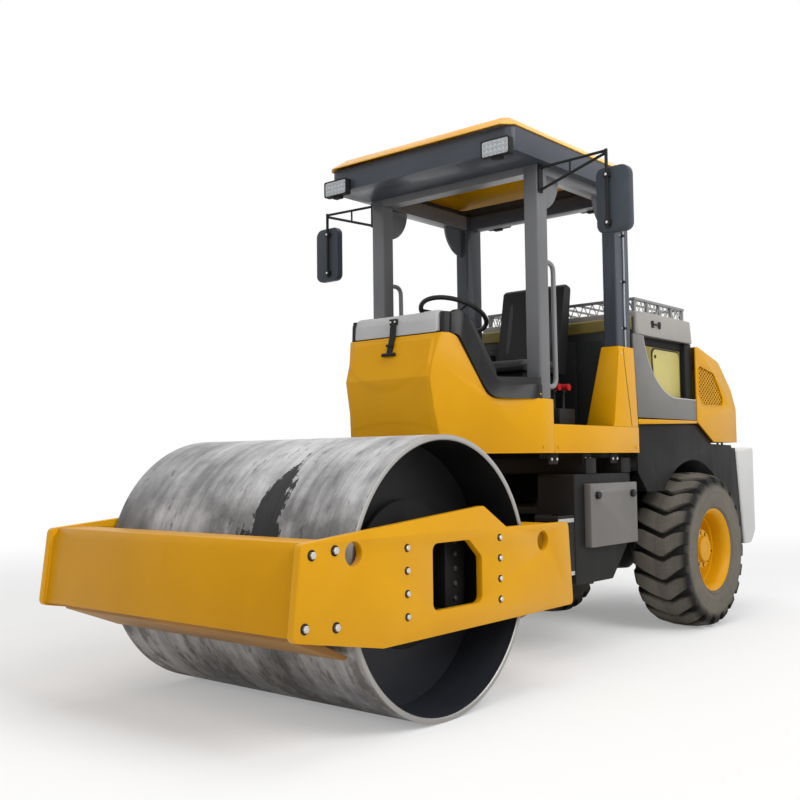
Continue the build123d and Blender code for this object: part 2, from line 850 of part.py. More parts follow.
keep(cowl_liner, "cowl_liner")

# Grey lid over the instruments, hinged along its rear edge, with a rubber latch on the nose
lid_half = nose_half - 11
lid_wall = 8
lid_line = [
    (nose_x - 70, nose_top_z + gap),
    (nose_x - 78, 1960),
    (nose_x - 92, 2002),
    (nose_x - 114, 2016),
    (nose_x - 150, 2006),
    (nose_x - 196, 1962),
]
with BuildPart() as cowl_cover:
    with BuildSketch(side_view(lid_half)):
        with BuildLine():
            Polyline(lid_line)
            offset(amount=lid_wall, side=Side.LEFT, kind=Kind.INTERSECTION)
        make_face()
    extrude(amount=2 * lid_half)
    # End walls
    for y in (lid_half, -lid_half + lid_wall):
        with BuildSketch(side_view(y)):
            with BuildLine():
                Polyline(lid_line, close=True)
            make_face()
        extrude(amount=lid_wall)
    # Hinge barrels round the liner's pins, each beside a notch for the bracket
    for side in (1, -1):
        with Locations((lid_hinge_x, side * lid_hinge_y, lid_hinge_z)):
            Box(40, 22, 30, mode=Mode.SUBTRACT)
        with BuildSketch(side_view(side * (lid_hinge_y + 11))):
            with Locations((lid_hinge_x, lid_hinge_z)):
                Circle(7)
                Circle(lid_pin_r + run_gap, mode=Mode.SUBTRACT)
        extrude(amount=-side * 26)
keep(cowl_cover, "cowl_cover")

# Rubber floor mat
with BuildPart() as floor_mat:
    with BuildSketch(Plane.XY.offset(deck_z)):
        with BuildLine():
            Polyline(
                (nose_x - 372, 0), (nose_x - 372, body_half - 180), (front_post_x + 10, body_half - 150),
                (front_post_x + 10, post_in - 8), (split_x - 10, post_in - 8), (split_x - 10, body_half - 50),
                (sill_back_x + 4, body_half - 50), (sill_back_x + 4, base_in - 10),
                (bulkhead_x + 20, base_in - 10), (bulkhead_x + 20, 0), close=True,
            )
        make_face()
    extrude(amount=8)
    mirror(about=Plane.XZ)
keep(floor_mat, "floor_mat")

# Yellow fairings at the feet of the rear posts: tapered boxes that the posts stand in
base_back_x = skirt_back_x + 5
base_low = [(sill_back_x, base_in), (sill_back_x, body_half), (base_back_x, body_half), (base_back_x, base_in)]
base_top_z = 1890
with BuildPart() as pillar_bases:
    with BuildSketch(Plane.XY.offset(sill_z)):
        with BuildLine():
            Polyline(base_low, close=True)
        make_face()
    with BuildSketch(Plane.XY.offset(base_top_z)):
        with BuildLine():
            Polyline(
                (rear_post_x + 14, post_in - sheet), (rear_post_x + 14, body_half),
                (rear_post_x - rear_post_d - 10, body_half), (rear_post_x - rear_post_d - 10, post_in - sheet),
                close=True,
            )
        make_face()
    loft(ruled=True)
    with BuildSketch(Plane.XY.offset(sill_z - 1)):
        with Locations((rear_post_x - rear_post_d / 2, post_y - post_w / 2)):
            Rectangle(rear_post_d + 1, post_w + 1)
    extrude(amount=base_top_z - sill_z + 2, mode=Mode.SUBTRACT)
    mirror(about=Plane.XZ)
keep(pillar_bases, "pillar_bases")

# ---------------------------------------------------------------- roll-over frame
post_top = 2920
posts_table = [
    # (front face x, depth)
    (front_post_x, front_post_d),
    (rear_post_x, rear_post_d),
]
with BuildPart() as rops_frame:
    for x, depth in posts_table:
        with BuildSketch(Plane.XY.offset(deck_z)):
            for side in (1, -1):
                with Locations((x - depth / 2, side * (post_y - post_w / 2))):
                    RectangleRounded(depth, post_w, 14)
        extrude(amount=post_top - deck_z)
    # Rails that join the posts at the top
    for side in (1, -1):
        with Locations(((front_post_x + rear_post_x - rear_post_d) / 2, side * (post_y - post_w / 2), post_top - 50)):
            Box(front_post_x - rear_post_x + rear_post_d - 4, post_w - 8, 96)
    for x in (front_post_x - front_post_d / 2, rear_post_x - rear_post_d / 2):
        with Locations((x, 0, post_top - 50)):
            Box(90, 2 * (post_y - post_w / 2), 90)
    # Curved gussets under the side rails and under the cross rails
    for side in (1, -1):
        for x, way in ((front_post_x - front_post_d, -1), (rear_post_x, 1)):
            with BuildSketch(side_view(side * (post_y - post_w / 2) + 8)):
                with BuildLine():
                    corner = (x - way * 2, post_top - 60)
                    Line(corner, (x + way * 190, post_top - 98))
                    RadiusArc((x + way * 190, post_top - 98), (x, post_top - 290), way * 205)
                    Line((x, post_top - 290), corner)
                make_face()
            extrude(amount=16)
keep(rops_frame, "rops_frame")

# Roof: a dark tray frame on the posts under a shallow hipped yellow skin
roof_front = pivot_x + 700
roof_back = pivot_x - 765
hip = 95
side_hip = 78
frame_in = 42
tray_wall = 12
tray_corner = 60
with BuildPart() as canopy_frame:
    with BuildSketch(Plane.XY.offset(fascia_low_z)) as tray:
        with Locations(((roof_front + roof_back) / 2, 0)):
            Rectangle(roof_front - roof_back - 2 * frame_in, 2 * roof_half - 20)
            fillet(tray.vertices(), tray_corner)
    extrude(amount=eave_z - fascia_low_z - 2)
    with BuildSketch(Plane.XY.offset(fascia_low_z + 60)) as tray_hollow:
        with Locations(((roof_front + roof_back) / 2, 0)):
            Rectangle(roof_front - roof_back - 2 * (frame_in + tray_wall), 2 * (roof_half - 10 - tray_wall))
            fillet(tray_hollow.vertices(), tray_corner - tray_wall)
    extrude(amount=eave_z - fascia_low_z, mode=Mode.SUBTRACT)
    # The posts' ring stands inside the tray, whose back wall runs on above it
    for low, high, back in (
        (fascia_low_z - 1, post_top + 1, rear_post_x - rear_post_d - 1),
        (post_top + 1, eave_z + 1, roof_back + frame_in + tray_wall),
    ):
        with BuildSketch(Plane.XY.offset(low)):
            with Locations(((front_post_x + 1 + back) / 2, 0)):
                Rectangle(front_post_x + 1 - back, 2 * post_y + 2)
        extrude(amount=high - low, mode=Mode.SUBTRACT)
keep(canopy_frame, "canopy_frame")

with BuildPart() as canopy_skin:
    # Outside, then what is cut out from below: (height, inset at the ends, inset at the sides, corner, mode)
    for (z_low, end_low, side_low, corner_low), (z_high, end_high, side_high, corner_high), mode in (
        ((eave_z, 0, 0, 62), (roof_z, hip, side_hip, 36), Mode.ADD),
        ((eave_z - 1, 12, 12, 56), (roof_z - 10, hip + 9, side_hip + 9, 32), Mode.SUBTRACT),
    ):
        for z, end_in, side_in, corner in (
            (z_low, end_low, side_low, corner_low),
            (z_high, end_high, side_high, corner_high),
        ):
            with BuildSketch(Plane.XY.offset(z)) as roof_section:
                with Locations(((roof_front + roof_back) / 2, 0)):
                    Rectangle(roof_front - roof_back - 2 * end_in, 2 * (roof_half - side_in))
                chamfer(roof_section.vertices(), corner)
        loft(ruled=True, mode=mode)
keep(canopy_skin, "canopy_skin")

# Work lamps hung on the fascia, two ahead and two behind
lamp_w = 190
lamp_h = 100
lamp_t = 46
lamps_table = [
    # (fascia face x, way it faces, distance from the middle plane)
    (roof_front - frame_in, 1, roof_half - 95),
    (roof_back + frame_in, -1, 380),
]
with BuildPart() as work_lamps:
    for x, way, y in lamps_table:
        for side in (1, -1):
            with Locations((x + way * (lamp_t / 2 + 1), side * y, fascia_low_z + 14)):
                Box(lamp_t, lamp_w, lamp_h)
            with Locations((x + way * 12, side * y, fascia_low_z - 12)):
                Box(36, 60, 24)
keep(work_lamps, "work_lamps")

# ---------------------------------------------------------------- mirrors and grab rails
mirror_x = front_post_x - 66
mirror_mid = body_half + 438
mirror_rod_y = mirror_mid - 24
mirror_z = 2592
with BuildPart() as mirrors:
    with BuildSketch(Plane.YZ.offset(mirror_x - 30)):
        with Locations((mirror_mid, mirror_z)):
            RectangleRounded(206, 364, 44)
    extrude(amount=56)
    # Bracket tubes from the post's head to the rod that the mirror hangs on
    with BuildSketch(Plane.XY.offset(mirror_z + 148)):
        with Locations((mirror_x + 42, mirror_rod_y)):
            Circle(11)
    extrude(amount=130)
    with Locations((mirror_x + 30, mirror_rod_y, mirror_z + 160)):
        Box(44, 30, 40)
    for z_post, z_rod in ((mirror_z + 254, mirror_z + 266), (mirror_z + 124, mirror_z + 254)):
        start = Vector(mirror_x + 42, post_y + 8, z_post)
        run = Vector(mirror_x + 42, mirror_rod_y, z_rod) - start
        with BuildSketch(Plane(origin=start, x_dir=(1, 0, 0), z_dir=run)):
            Circle(10)
        extrude(amount=run.length)
    with Locations((mirror_x + 42, post_y + 6, mirror_z + 189)):
        Box(42, 10, 166)
    mirror(about=Plane.XZ)
keep(mirrors, "mirrors")

# Bent tubes to hold on to, behind each front post
grab_x = front_post_x - front_post_d
grab_tube_r = 15
tube_sides = 8  # thin tubes are drawn as octagons
grab_reach = 132
grab_high_z = 2326
grab_low_z = 1600
grab_bend_r = 70
with BuildPart() as grab_rails:
    with BuildLine(side_view(post_y - post_w / 2)) as grab_line:
        FilletPolyline(
            (grab_x, grab_high_z), (grab_x - grab_reach + 8, grab_high_z),
            (grab_x - grab_reach, grab_low_z), (grab_x, grab_low_z),
            radius=grab_bend_r,
        )
    with BuildSketch(Plane(origin=grab_line.line @ 0, z_dir=grab_line.line % 0)):
        RegularPolygon(grab_tube_r, tube_sides)
    sweep(path=grab_line.line)
    mirror(about=Plane.XZ)
keep(grab_rails, "grab_rails")

# ---------------------------------------------------------------- seat and controls
seat_x = pivot_x - 345
console_w = 130
console_y = base_in - console_w / 2 - 15
seat_half = console_y - console_w / 2 - 50
box_top_z = 1500
with BuildPart() as seat_base:
    with Locations((seat_x, 0, (deck_z + 8 + box_top_z) / 2)):
        Box(440, 2 * seat_half - 90, box_top_z - deck_z - 8)
    # Suspension boot, as (height, length, width)
    for z, long, wide in ((box_top_z, 340, 2 * seat_half - 180), (1730, 400, 2 * seat_half - 110)):
        with BuildSketch(Plane.XY.offset(z)):
            with Locations((seat_x, 0)):
                Rectangle(long, wide)
    loft(ruled=True)
keep(seat_base, "seat_base")

with BuildPart() as seat:
    with BuildSketch(side_view(seat_half)) as seat_shape:
        with BuildLine():
            Polyline(
                (seat_x + 262, 1732), (seat_x + 262, 1838), (seat_x - 150, 1822), (seat_x - 250, 2330),
                (seat_x - 275, 2352), (seat_x - 345, 2340), (seat_x - 345, 2300), (seat_x - 232, 1732),
                close=True,
            )
        make_face()
        fillet(seat_shape.vertices().group_by(Axis.Y)[0], 24)
        fillet(seat_shape.vertices().group_by(Axis.X)[-1].sort_by(Axis.Y)[-1], 36)
    extrude(amount=2 * seat_half)
keep(seat, "seat")

wheel_hub = (pivot_x + 300, 2065)
hand_wheel_r = 205
with BuildPart() as steering_column:
    column_plane = Plane(origin=(wheel_hub[0], 0, wheel_hub[1]), x_dir=(0, 1, 0), z_dir=(-0.42, 0, 0.9))
    with BuildSketch(column_plane.offset(-20)):
        Circle(34)
    extrude(amount=30)
    with BuildSketch(Plane(origin=(wheel_hub[0] + 0.42 * 10, 0, wheel_hub[1] - 9), x_dir=(0, 1, 0),
                           z_dir=(0.42, 0, -0.9))):
        Circle(42)
    extrude(amount=520)
    with BuildSketch(column_plane.offset(-8)):
        for turn in (90, 210, 330):
            with Locations(Location((0, 0), turn)):
                with Locations((hand_wheel_r / 2, 0)):
                    Rectangle(hand_wheel_r - 10, 24)
    extrude(amount=8)
    with BuildSketch(Plane(origin=column_plane.origin, x_dir=column_plane.z_dir, z_dir=(0, -1, 0))):
        with Locations((-4, hand_wheel_r)):
            RegularPolygon(15, tube_sides)
    revolve(axis=Axis(column_plane.origin, column_plane.z_dir))
    with Locations((wheel_hub[0] + 193, 0, deck_z + 8 + 125)):
        Box(120, 220, 250)
keep(steering_column, "steering_column")

console_x = seat_x - 20
console_top = 1900
with BuildPart() as lever_console:
    with Locations((console_x, -console_y, (deck_z + 8 + console_top) / 2)):
        Box(420, console_w, console_top - deck_z - 8)
    with Locations((console_x + 120, console_y + 25, deck_z + 8 + 70)):
        Box(180, 120, 140)
    # Levers: (x, y, foot height, radius)
    for x, y, z, r in (
        (console_x + 120, -console_y, console_top - 1, 12),
        (console_x + 40, -console_y, console_top - 1, 10),
        (console_x + 150, console_y + 10, deck_z + 147, 9),
        (console_x + 90, console_y + 40, deck_z + 147, 9),
    ):
        with BuildSketch(Plane.XY.offset(z)):
            with Locations((x, y)):
                Circle(r)
        extrude(amount=110)
        with Locations((x, y, z + 124)):
            Cylinder(20, 40)
keep(lever_console, "lever_console")

# ---------------------------------------------------------------- engine bay
bulkhead_half = body_half - 38
bulkhead_top = 2110
bay_top = 2150
band_low = 1992
hood_front_x = axle_x - 48
hood_back_x = axle_x - 750
with BuildPart() as bulkhead:
    with Locations((bulkhead_x - 10, 0, (deck_z + bulkhead_top) / 2)):
        Box(20, 2 * bulkhead_half, bulkhead_top - deck_z)
    with Locations((bulkhead_x - 60, 0, deck_z - 6)):
        Box(120, 2 * bulkhead_half, 12)
keep(bulkhead, "bulkhead")

# Grey band round the bay's top, open towards the hood, with a yellow front edge above the bulkhead
with BuildPart() as shroud:
    with BuildSketch(Plane.XY.offset(band_low)) as band:
        with Locations(((bulkhead_x + hood_front_x) / 2 - 6, 0)):
            Rectangle(bulkhead_x - hood_front_x - 28, 2 * body_half - 16)
            fillet(band.vertices(), 40)
    extrude(amount=bay_top - band_low, taper=4)
    with BuildSketch(Plane.XY.offset(band_low - 1)):
        with Locations(((bulkhead_x + hood_front_x) / 2 - 6, 0)):
            Rectangle(bulkhead_x - hood_front_x - 80, 2 * body_half - 70)
    extrude(amount=bay_top - band_low - 15, mode=Mode.SUBTRACT)
    with BuildSketch(Plane.XY.offset(bay_top - 20)):
        with Locations(((bulkhead_x + hood_front_x) / 2 - 6, 0)):
            Rectangle(bulkhead_x - hood_front_x - 180, 2 * body_half - 240)
    extrude(amount=30, mode=Mode.SUBTRACT)
keep(shroud, "shroud")

guard_top = 2246
with BuildPart() as shroud_guard:
    guard_long = bulkhead_x - hood_front_x - 110
    with Locations(((bulkhead_x + hood_front_x) / 2 - 6, 0, guard_top - 8)):
        Box(guard_long, 2 * body_half - 110, 16)
        Box(guard_long - 60, 2 * body_half - 170, 18, mode=Mode.SUBTRACT)
        with GridLocations(0, 150, 1, 7):
            Box(guard_long - 40, 12, 12)
    with BuildSketch(Plane.XY.offset(bay_top)):
        with Locations(((bulkhead_x + hood_front_x) / 2 - 6, 0)):
            with GridLocations((guard_long - 30) / 4, 2 * body_half - 140, 5, 2):
                Rectangle(26, 20)
    extrude(amount=guard_top - bay_top - 10)
keep(shroud_guard, "shroud_guard")

# Side of the bay: yellow sill, grey curved panel, dark frame and the pale panels behind the opening
bay_y = body_half
with BuildPart() as bay_sills:
    with BuildSketch(side_view(bay_y)):
        with BuildLine():
            Polyline(
                (skirt_back_x - 2, hood_sill_z - 30), (skirt_back_x - 2, hood_sill_z + 4),
                (hood_front_x + gap, hood_sill_z + 12), (hood_front_x + gap, hood_sill_z - 8), close=True,
            )
        make_face()
    extrude(amount=20)
    mirror(about=Plane.XZ)
keep(bay_sills, "bay_sills")

swoosh_front = pivot_x - 806
swoosh_back = hood_front_x + gap
bay_long = swoosh_front - swoosh_back
with BuildPart() as swoosh_panels:
    with BuildSketch(side_view(bay_y - 2)):
        with BuildLine():
            bottom = Line((swoosh_front, hood_sill_z + 14), (swoosh_back, hood_sill_z + 14))
            rear = Line(bottom @ 1, (swoosh_back, 1588))
            top = Line(rear @ 1, (swoosh_back + 0.28 * bay_long, 1590))
            sweep_arc = ThreePointArc(
                top @ 1, (swoosh_front - 0.34 * bay_long, 1680), (swoosh_front - 0.108 * bay_long, band_low - 4)
            )
            cap = Line(sweep_arc @ 1, (rear_post_x - rear_post_d - 16, band_low - 4))
            Line(cap @ 1, (rear_post_x - rear_post_d - 16, base_top_z))
            Line((rear_post_x - rear_post_d - 16, base_top_z), bottom @ 0)
        make_face()
    extrude(amount=18)
    mirror(about=Plane.XZ)
keep(swoosh_panels, "swoosh_panels")

frame_x = hood_front_x + 62
with BuildPart() as bay_frame:
    for side in (1, -1):
        with Locations((frame_x, side * (bay_y - 60), (hood_sill_z + 16 + band_low - 2) / 2)):
            Box(100, 60, band_low - hood_sill_z - 18)
        with Locations(((frame_x + bulkhead_x - 22) / 2, side * (bay_y - 75), band_low - 28)):
            Box(bulkhead_x - 22 - frame_x, 30, 50)
        with Locations(((frame_x + bulkhead_x - 22) / 2, side * (bay_y - 75), hood_sill_z + 40)):
            Box(bulkhead_x - 22 - frame_x, 30, 46)
keep(bay_frame, "bay_frame")

with BuildPart() as inner_panels:
    with BuildSketch(side_view(bay_y - 66)):
        with BuildLine():
            Polyline(
                (frame_x + 54, hood_sill_z + 66), (frame_x + 54, band_low - 56),
                (bulkhead_x - 130, band_low - 56), (bulkhead_x - 260, hood_sill_z + 66), close=True,
            )
        make_face()
    extrude(amount=30)
    mirror(about=Plane.XZ)
keep(inner_panels, "inner_panels")

# Engine as one heavy block with its side gear, and the radiator behind it
engine_front = bulkhead_x - 185
engine_back = axle_x - 130
engine_mid = (engine_front + engine_back) / 2
engine_long = engine_front - engine_back
with BuildPart() as engine:
    with Locations((engine_mid, 0, 1420)):
        Box(engine_long, 500, 640)
    with Locations((engine_mid, 0, 1790)):
        Box(engine_long - 60, 260, 100)
    with BuildSketch(Plane.YZ.offset(engine_back + 150)):
        with Locations((300, 1560), (-300, 1300)):
            Circle(75)
    extrude(amount=engine_long - 340)
    with Locations((engine_mid, 0, 1095)):
        Box(engine_long - 160, 620, 10)
keep(engine, "engine")

with BuildPart() as radiator:
    with Locations((axle_x - 300, 0, 1470)):
        Box(110, 820, 540)
    with Locations((axle_x - 300, 0, 1146)):
        Box(90, 600, 112)
    with BuildSketch(Plane.YZ.offset(axle_x - 246)):
        with Locations((0, 1420)):
            Circle(290)
            Circle(262, mode=Mode.SUBTRACT)
    extrude(amount=70)
keep(radiator, "radiator")

# ---------------------------------------------------------------- hood
# Hood outline from the side, by corner: (x, z, corner radius)
hood_corners = [
    (hood_front_x, hood_sill_z + 2, 0),
    (hood_front_x, band_low - 8, 30),
    (axle_x - 440, 1886, 160),
    (axle_x - 660, 1690, 130),
    (hood_back_x + 2, 1545, 60),
    (hood_back_x, 1291, 0),
    (axle_x - 326, 1293, 0),
    (axle_x - 56, hood_sill_z + 2, 0),
]


def hood_outline(inset):
    """Hood outline with its top and back moved in by an inset."""
    moved = []
    for x, z, _ in hood_corners:
        high = z > 1500
        rear = x < axle_x - 600
        moved.append((x + (inset if rear else 0), z - (inset if high else 0)))
    return moved


def round_corners(sketch, inset):
    """Round the corners of a hood sketch that have a radius."""
    for (x, z), (_, _, radius) in zip(hood_outline(inset), hood_corners):
        if radius:
            corner = sketch.vertices().sort_by(lambda v: math.hypot(v.X - x, v.Y - z))[0]
            fillet(corner, radius)


grille_corners = [
    (axle_x - 84, 1846, 30),
    (axle_x - 352, 1800, 60),
    (axle_x - 508, 1622, 40),
    (axle_x - 500, 1560, 30),
    (axle_x - 150, 1556, 60),
    (axle_x - 84, 1650, 40),
]
hood_sheet = 8
with BuildPart() as hood:
    with BuildSketch(side_view(body_half)) as hood_face:
        with BuildLine():
            Polyline(hood_outline(0), close=True)
        make_face()
        round_corners(hood_face, 0)
    extrude(amount=2 * body_half)
    with BuildSketch(side_view(body_half - hood_sheet)) as hood_hollow:
        with BuildLine():
            inner = hood_outline(hood_sheet)
            Polyline(
                [(hood_front_x + 1, 1200), (hood_front_x + 1, inner[1][1])] + inner[2:5]
                + [(inner[5][0], 1200)], close=True,
            )
        make_face()
        for (x, z), radius in zip(inner[2:5], (150, 122, 52)):
            corner = hood_hollow.vertices().sort_by(lambda v: math.hypot(v.X - x, v.Y - z))[0]
            fillet(corner, radius)
    extrude(amount=2 * (body_half - hood_sheet), mode=Mode.SUBTRACT)
    with BuildSketch(side_view(body_half + 1)) as grille_hole:
        with BuildLine():
            Polyline([(x, z) for x, z, _ in grille_corners], close=True)
        make_face()
        for x, z, radius in grille_corners:
            corner = grille_hole.vertices().sort_by(lambda v: math.hypot(v.X - x, v.Y - z))[0]
            fillet(corner, radius)
    extrude(amount=2 * body_half + 2, mode=Mode.SUBTRACT)
    # Hinge lugs on its back panel, round the chassis's pins
    for y in (hood_lug_y + 12, -hood_lug_y):
        with BuildSketch(side_view(y)):
            with BuildLine():
                Polyline(
                    (hood_back_x + 4, hood_pin_z - 9), (hood_pin_x, hood_pin_z - 20),
                    (hood_pin_x, hood_pin_z + 20), (hood_back_x + 4, hood_pin_z + 60), close=True,
                )
            make_face()
            with Locations((hood_pin_x, hood_pin_z)):
                Circle(20)
                Circle(hood_pin_r + run_gap, mode=Mode.SUBTRACT)
        extrude(amount=12)
keep(hood, "hood")

# Lattice seated behind the openings: rows of diamond holes, every other row shifted by half a cell
cell_x = 50
cell_z = 36
web = 10
lattice_lap = 14
lattice_wall = 4


def lattice_holes():
    """Middles of the diamond holes that fit inside the grille's opening."""
    opening = grille_hole.sketch.face()
    keep_in = offset(opening, amount=-cell_z / 3, mode=Mode.PRIVATE).face()
    low = opening.bounding_box().min
    high = opening.bounding_box().max
    plane = side_view(body_half + 1)
    spots = []
    rows = int((high.Z - low.Z) / (cell_z / 2))
    columns = int((high.X - low.X) / cell_x) + 1
    for row in range(rows):
        for column in range(columns):
            x = low.X + (column + 0.5 * (row % 2)) * cell_x
            z = low.Z + (row + 0.5) * cell_z / 2
            if keep_in.is_inside(plane.from_local_coords((x, z, 0))):
                spots.append((x, z))
    return spots


with BuildSketch() as diamond:
    with BuildLine():
        Polyline(
            ((cell_x - web) / 2, 0), (0, (cell_z - web) / 2), (-(cell_x - web) / 2, 0), (0, -(cell_z - web) / 2),
            close=True,
        )
    make_face()
with BuildPart() as hood_grilles:
    with BuildSketch(side_view(body_half - hood_sheet)):
        with BuildLine():
            Polyline([(x, z) for x, z, _ in grille_corners], close=True)
        make_face()
        offset(amount=lattice_lap, kind=Kind.INTERSECTION)
        with Locations(lattice_holes()):
            add(diamond.sketch, mode=Mode.SUBTRACT)
    extrude(amount=lattice_wall)
    mirror(about=Plane.XZ)
keep(hood_grilles, "hood_grilles")
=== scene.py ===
"""Dressed model of an articulated single-drum soil roller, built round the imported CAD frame."""

import json
import logging
import math
from dataclasses import dataclass, field
from enum import Enum
from typing import Any, Callable, Iterable, Mapping, Optional, Sequence, Union

import bmesh
import bpy
from mathutils import Matrix, Vector


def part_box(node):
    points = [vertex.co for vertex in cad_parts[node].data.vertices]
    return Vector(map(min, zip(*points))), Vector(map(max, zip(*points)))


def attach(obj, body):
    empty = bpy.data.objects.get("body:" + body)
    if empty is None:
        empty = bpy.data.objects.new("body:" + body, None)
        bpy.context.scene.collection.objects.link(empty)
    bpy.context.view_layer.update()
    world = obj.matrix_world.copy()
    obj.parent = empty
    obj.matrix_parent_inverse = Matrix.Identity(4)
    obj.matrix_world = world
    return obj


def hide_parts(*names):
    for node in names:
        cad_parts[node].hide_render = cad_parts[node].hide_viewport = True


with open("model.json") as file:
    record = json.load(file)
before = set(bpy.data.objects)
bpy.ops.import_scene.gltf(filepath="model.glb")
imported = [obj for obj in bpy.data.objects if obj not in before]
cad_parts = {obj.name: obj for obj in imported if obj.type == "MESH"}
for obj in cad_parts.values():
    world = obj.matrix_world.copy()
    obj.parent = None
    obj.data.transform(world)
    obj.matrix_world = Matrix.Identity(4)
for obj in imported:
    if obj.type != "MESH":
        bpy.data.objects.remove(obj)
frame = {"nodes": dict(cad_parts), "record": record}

LOG = logging.getLogger("roller")
Number = Union["Sock", float]
Colour = tuple[float, float, float]
Point = tuple[float, float, float]
Flat = tuple[float, float]

SIDES = (1.0, -1.0)
ORIGIN = Vector((0.0, 0.0, 0.0))
REAR = "rear_frame"
FRONT = "front_frame"


# ---------------------------------------------------------------- node trees
def maths(operation: str, swapped: bool = False) -> Callable[["Sock", Number], "Sock"]:
    """A method of Sock that adds a Math node with two inputs.

    Args:
        operation: The node's operation.
        swapped: Whether the other value is the first input.

    Returns:
        The method.
    """
    def method(self: "Sock", other: Number) -> "Sock":
        """The result of this value and another."""
        return self.result(operation, *((other, self) if swapped else (self, other)))

    return method


class Sock:
    """One output socket that takes part in Python expressions."""

    def __init__(self, tree: "Tree", socket: bpy.types.NodeSocket) -> None:
        """Keep the socket with the tree that it belongs to.

        Args:
            tree: The tree that new Math nodes are added to.
            socket: The output socket that is wrapped.
        """
        self.tree = tree
        self.socket = socket

    def result(self, operation: str, *values: Number) -> "Sock":
        """The result of a new Math node with these inputs."""
        return self.tree.node("ShaderNodeMath", {"operation": operation}, dict(enumerate(values)))

    __add__ = maths("ADD")
    __radd__ = maths("ADD", True)
    __sub__ = maths("SUBTRACT")
    __rsub__ = maths("SUBTRACT", True)
    __mul__ = maths("MULTIPLY")
    __rmul__ = maths("MULTIPLY", True)
    __truediv__ = maths("DIVIDE")
    __pow__ = maths("POWER")
    least = maths("MINIMUM")
    most = maths("MAXIMUM")

    def __abs__(self) -> "Sock":
        """The value without its sign."""
        return self.result("ABSOLUTE", self)

    def wave(self) -> "Sock":
        """Sine of the value."""
        return self.result("SINE", self)

    def rise(self, low: float, high: float) -> "Sock":
        """Smooth step of the value.

        Args:
            low: Where the result leaves 0.
            high: Where the result reaches 1.

        Returns:
            A value from 0 to 1.
        """
        settings = {"interpolation_type": "SMOOTHSTEP"}
        return self.tree.node("ShaderNodeMapRange", settings, {0: self, 1: low, 2: high, 3: 0.0, 4: 1.0})

    def fall(self, low: float, high: float) -> "Sock":
        """Smooth step from 1 down to 0 between low and high."""
        return 1.0 - self.rise(low, high)


class Tree:
    """A node tree with one method that adds any node."""

    def __init__(self, tree: bpy.types.NodeTree) -> None:
        """Keep the tree.

        Args:
            tree: The Blender tree that nodes are added to.
        """
        self.tree = tree

    def node(
        self,
        kind: str,
        settings: Optional[Mapping[str, Any]] = None,
        inputs: Optional[Mapping[Union[int, str], Any]] = None,
        output: Union[int, str, None] = 0,
    ) -> Optional[Sock]:
        """Add a node, set it up and join its sockets.

        Args:
            kind: The node's type name.
            settings: Properties that are set first; "stops" fills a colour ramp.
            inputs: Values or links by the input's index or name.
            output: The output that is handed back, or None.

        Returns:
            The chosen output, or None.
        """
        made = self.tree.nodes.new(kind)
        for name, value in (settings or {}).items():
            if name == "stops":
                self._fill_ramp(made.color_ramp, value)
            else:
                setattr(made, name, value)
        for key, value in (inputs or {}).items():
            if isinstance(value, Sock):
                self.tree.links.new(value.socket, made.inputs[key])
            else:
                made.inputs[key].default_value = value
        return None if output is None else Sock(self, made.outputs[output])

    def seen(self) -> Sock:
        """1 for rays from the camera, a mirror or a clear piece, else 0."""
        camera, glossy, clear = (
            self.node("ShaderNodeLightPath", output=f"Is {kind} Ray") for kind in ("Camera", "Glossy", "Transmission")
        )
        return camera.most(glossy).most(clear)

    @staticmethod
    def _fill_ramp(ramp: bpy.types.ColorRamp, stops: Sequence[tuple[float, Colour]]) -> None:
        """Set a colour ramp's stops.

        Args:
            ramp: The ramp.
            stops: Place and colour of each stop, in order.
        """
        while len(ramp.elements) < len(stops):
            ramp.elements.new(1.0)
        for element, (place, colour) in zip(ramp.elements, stops):
            element.position = place
            element.color = (*colour, 1.0)


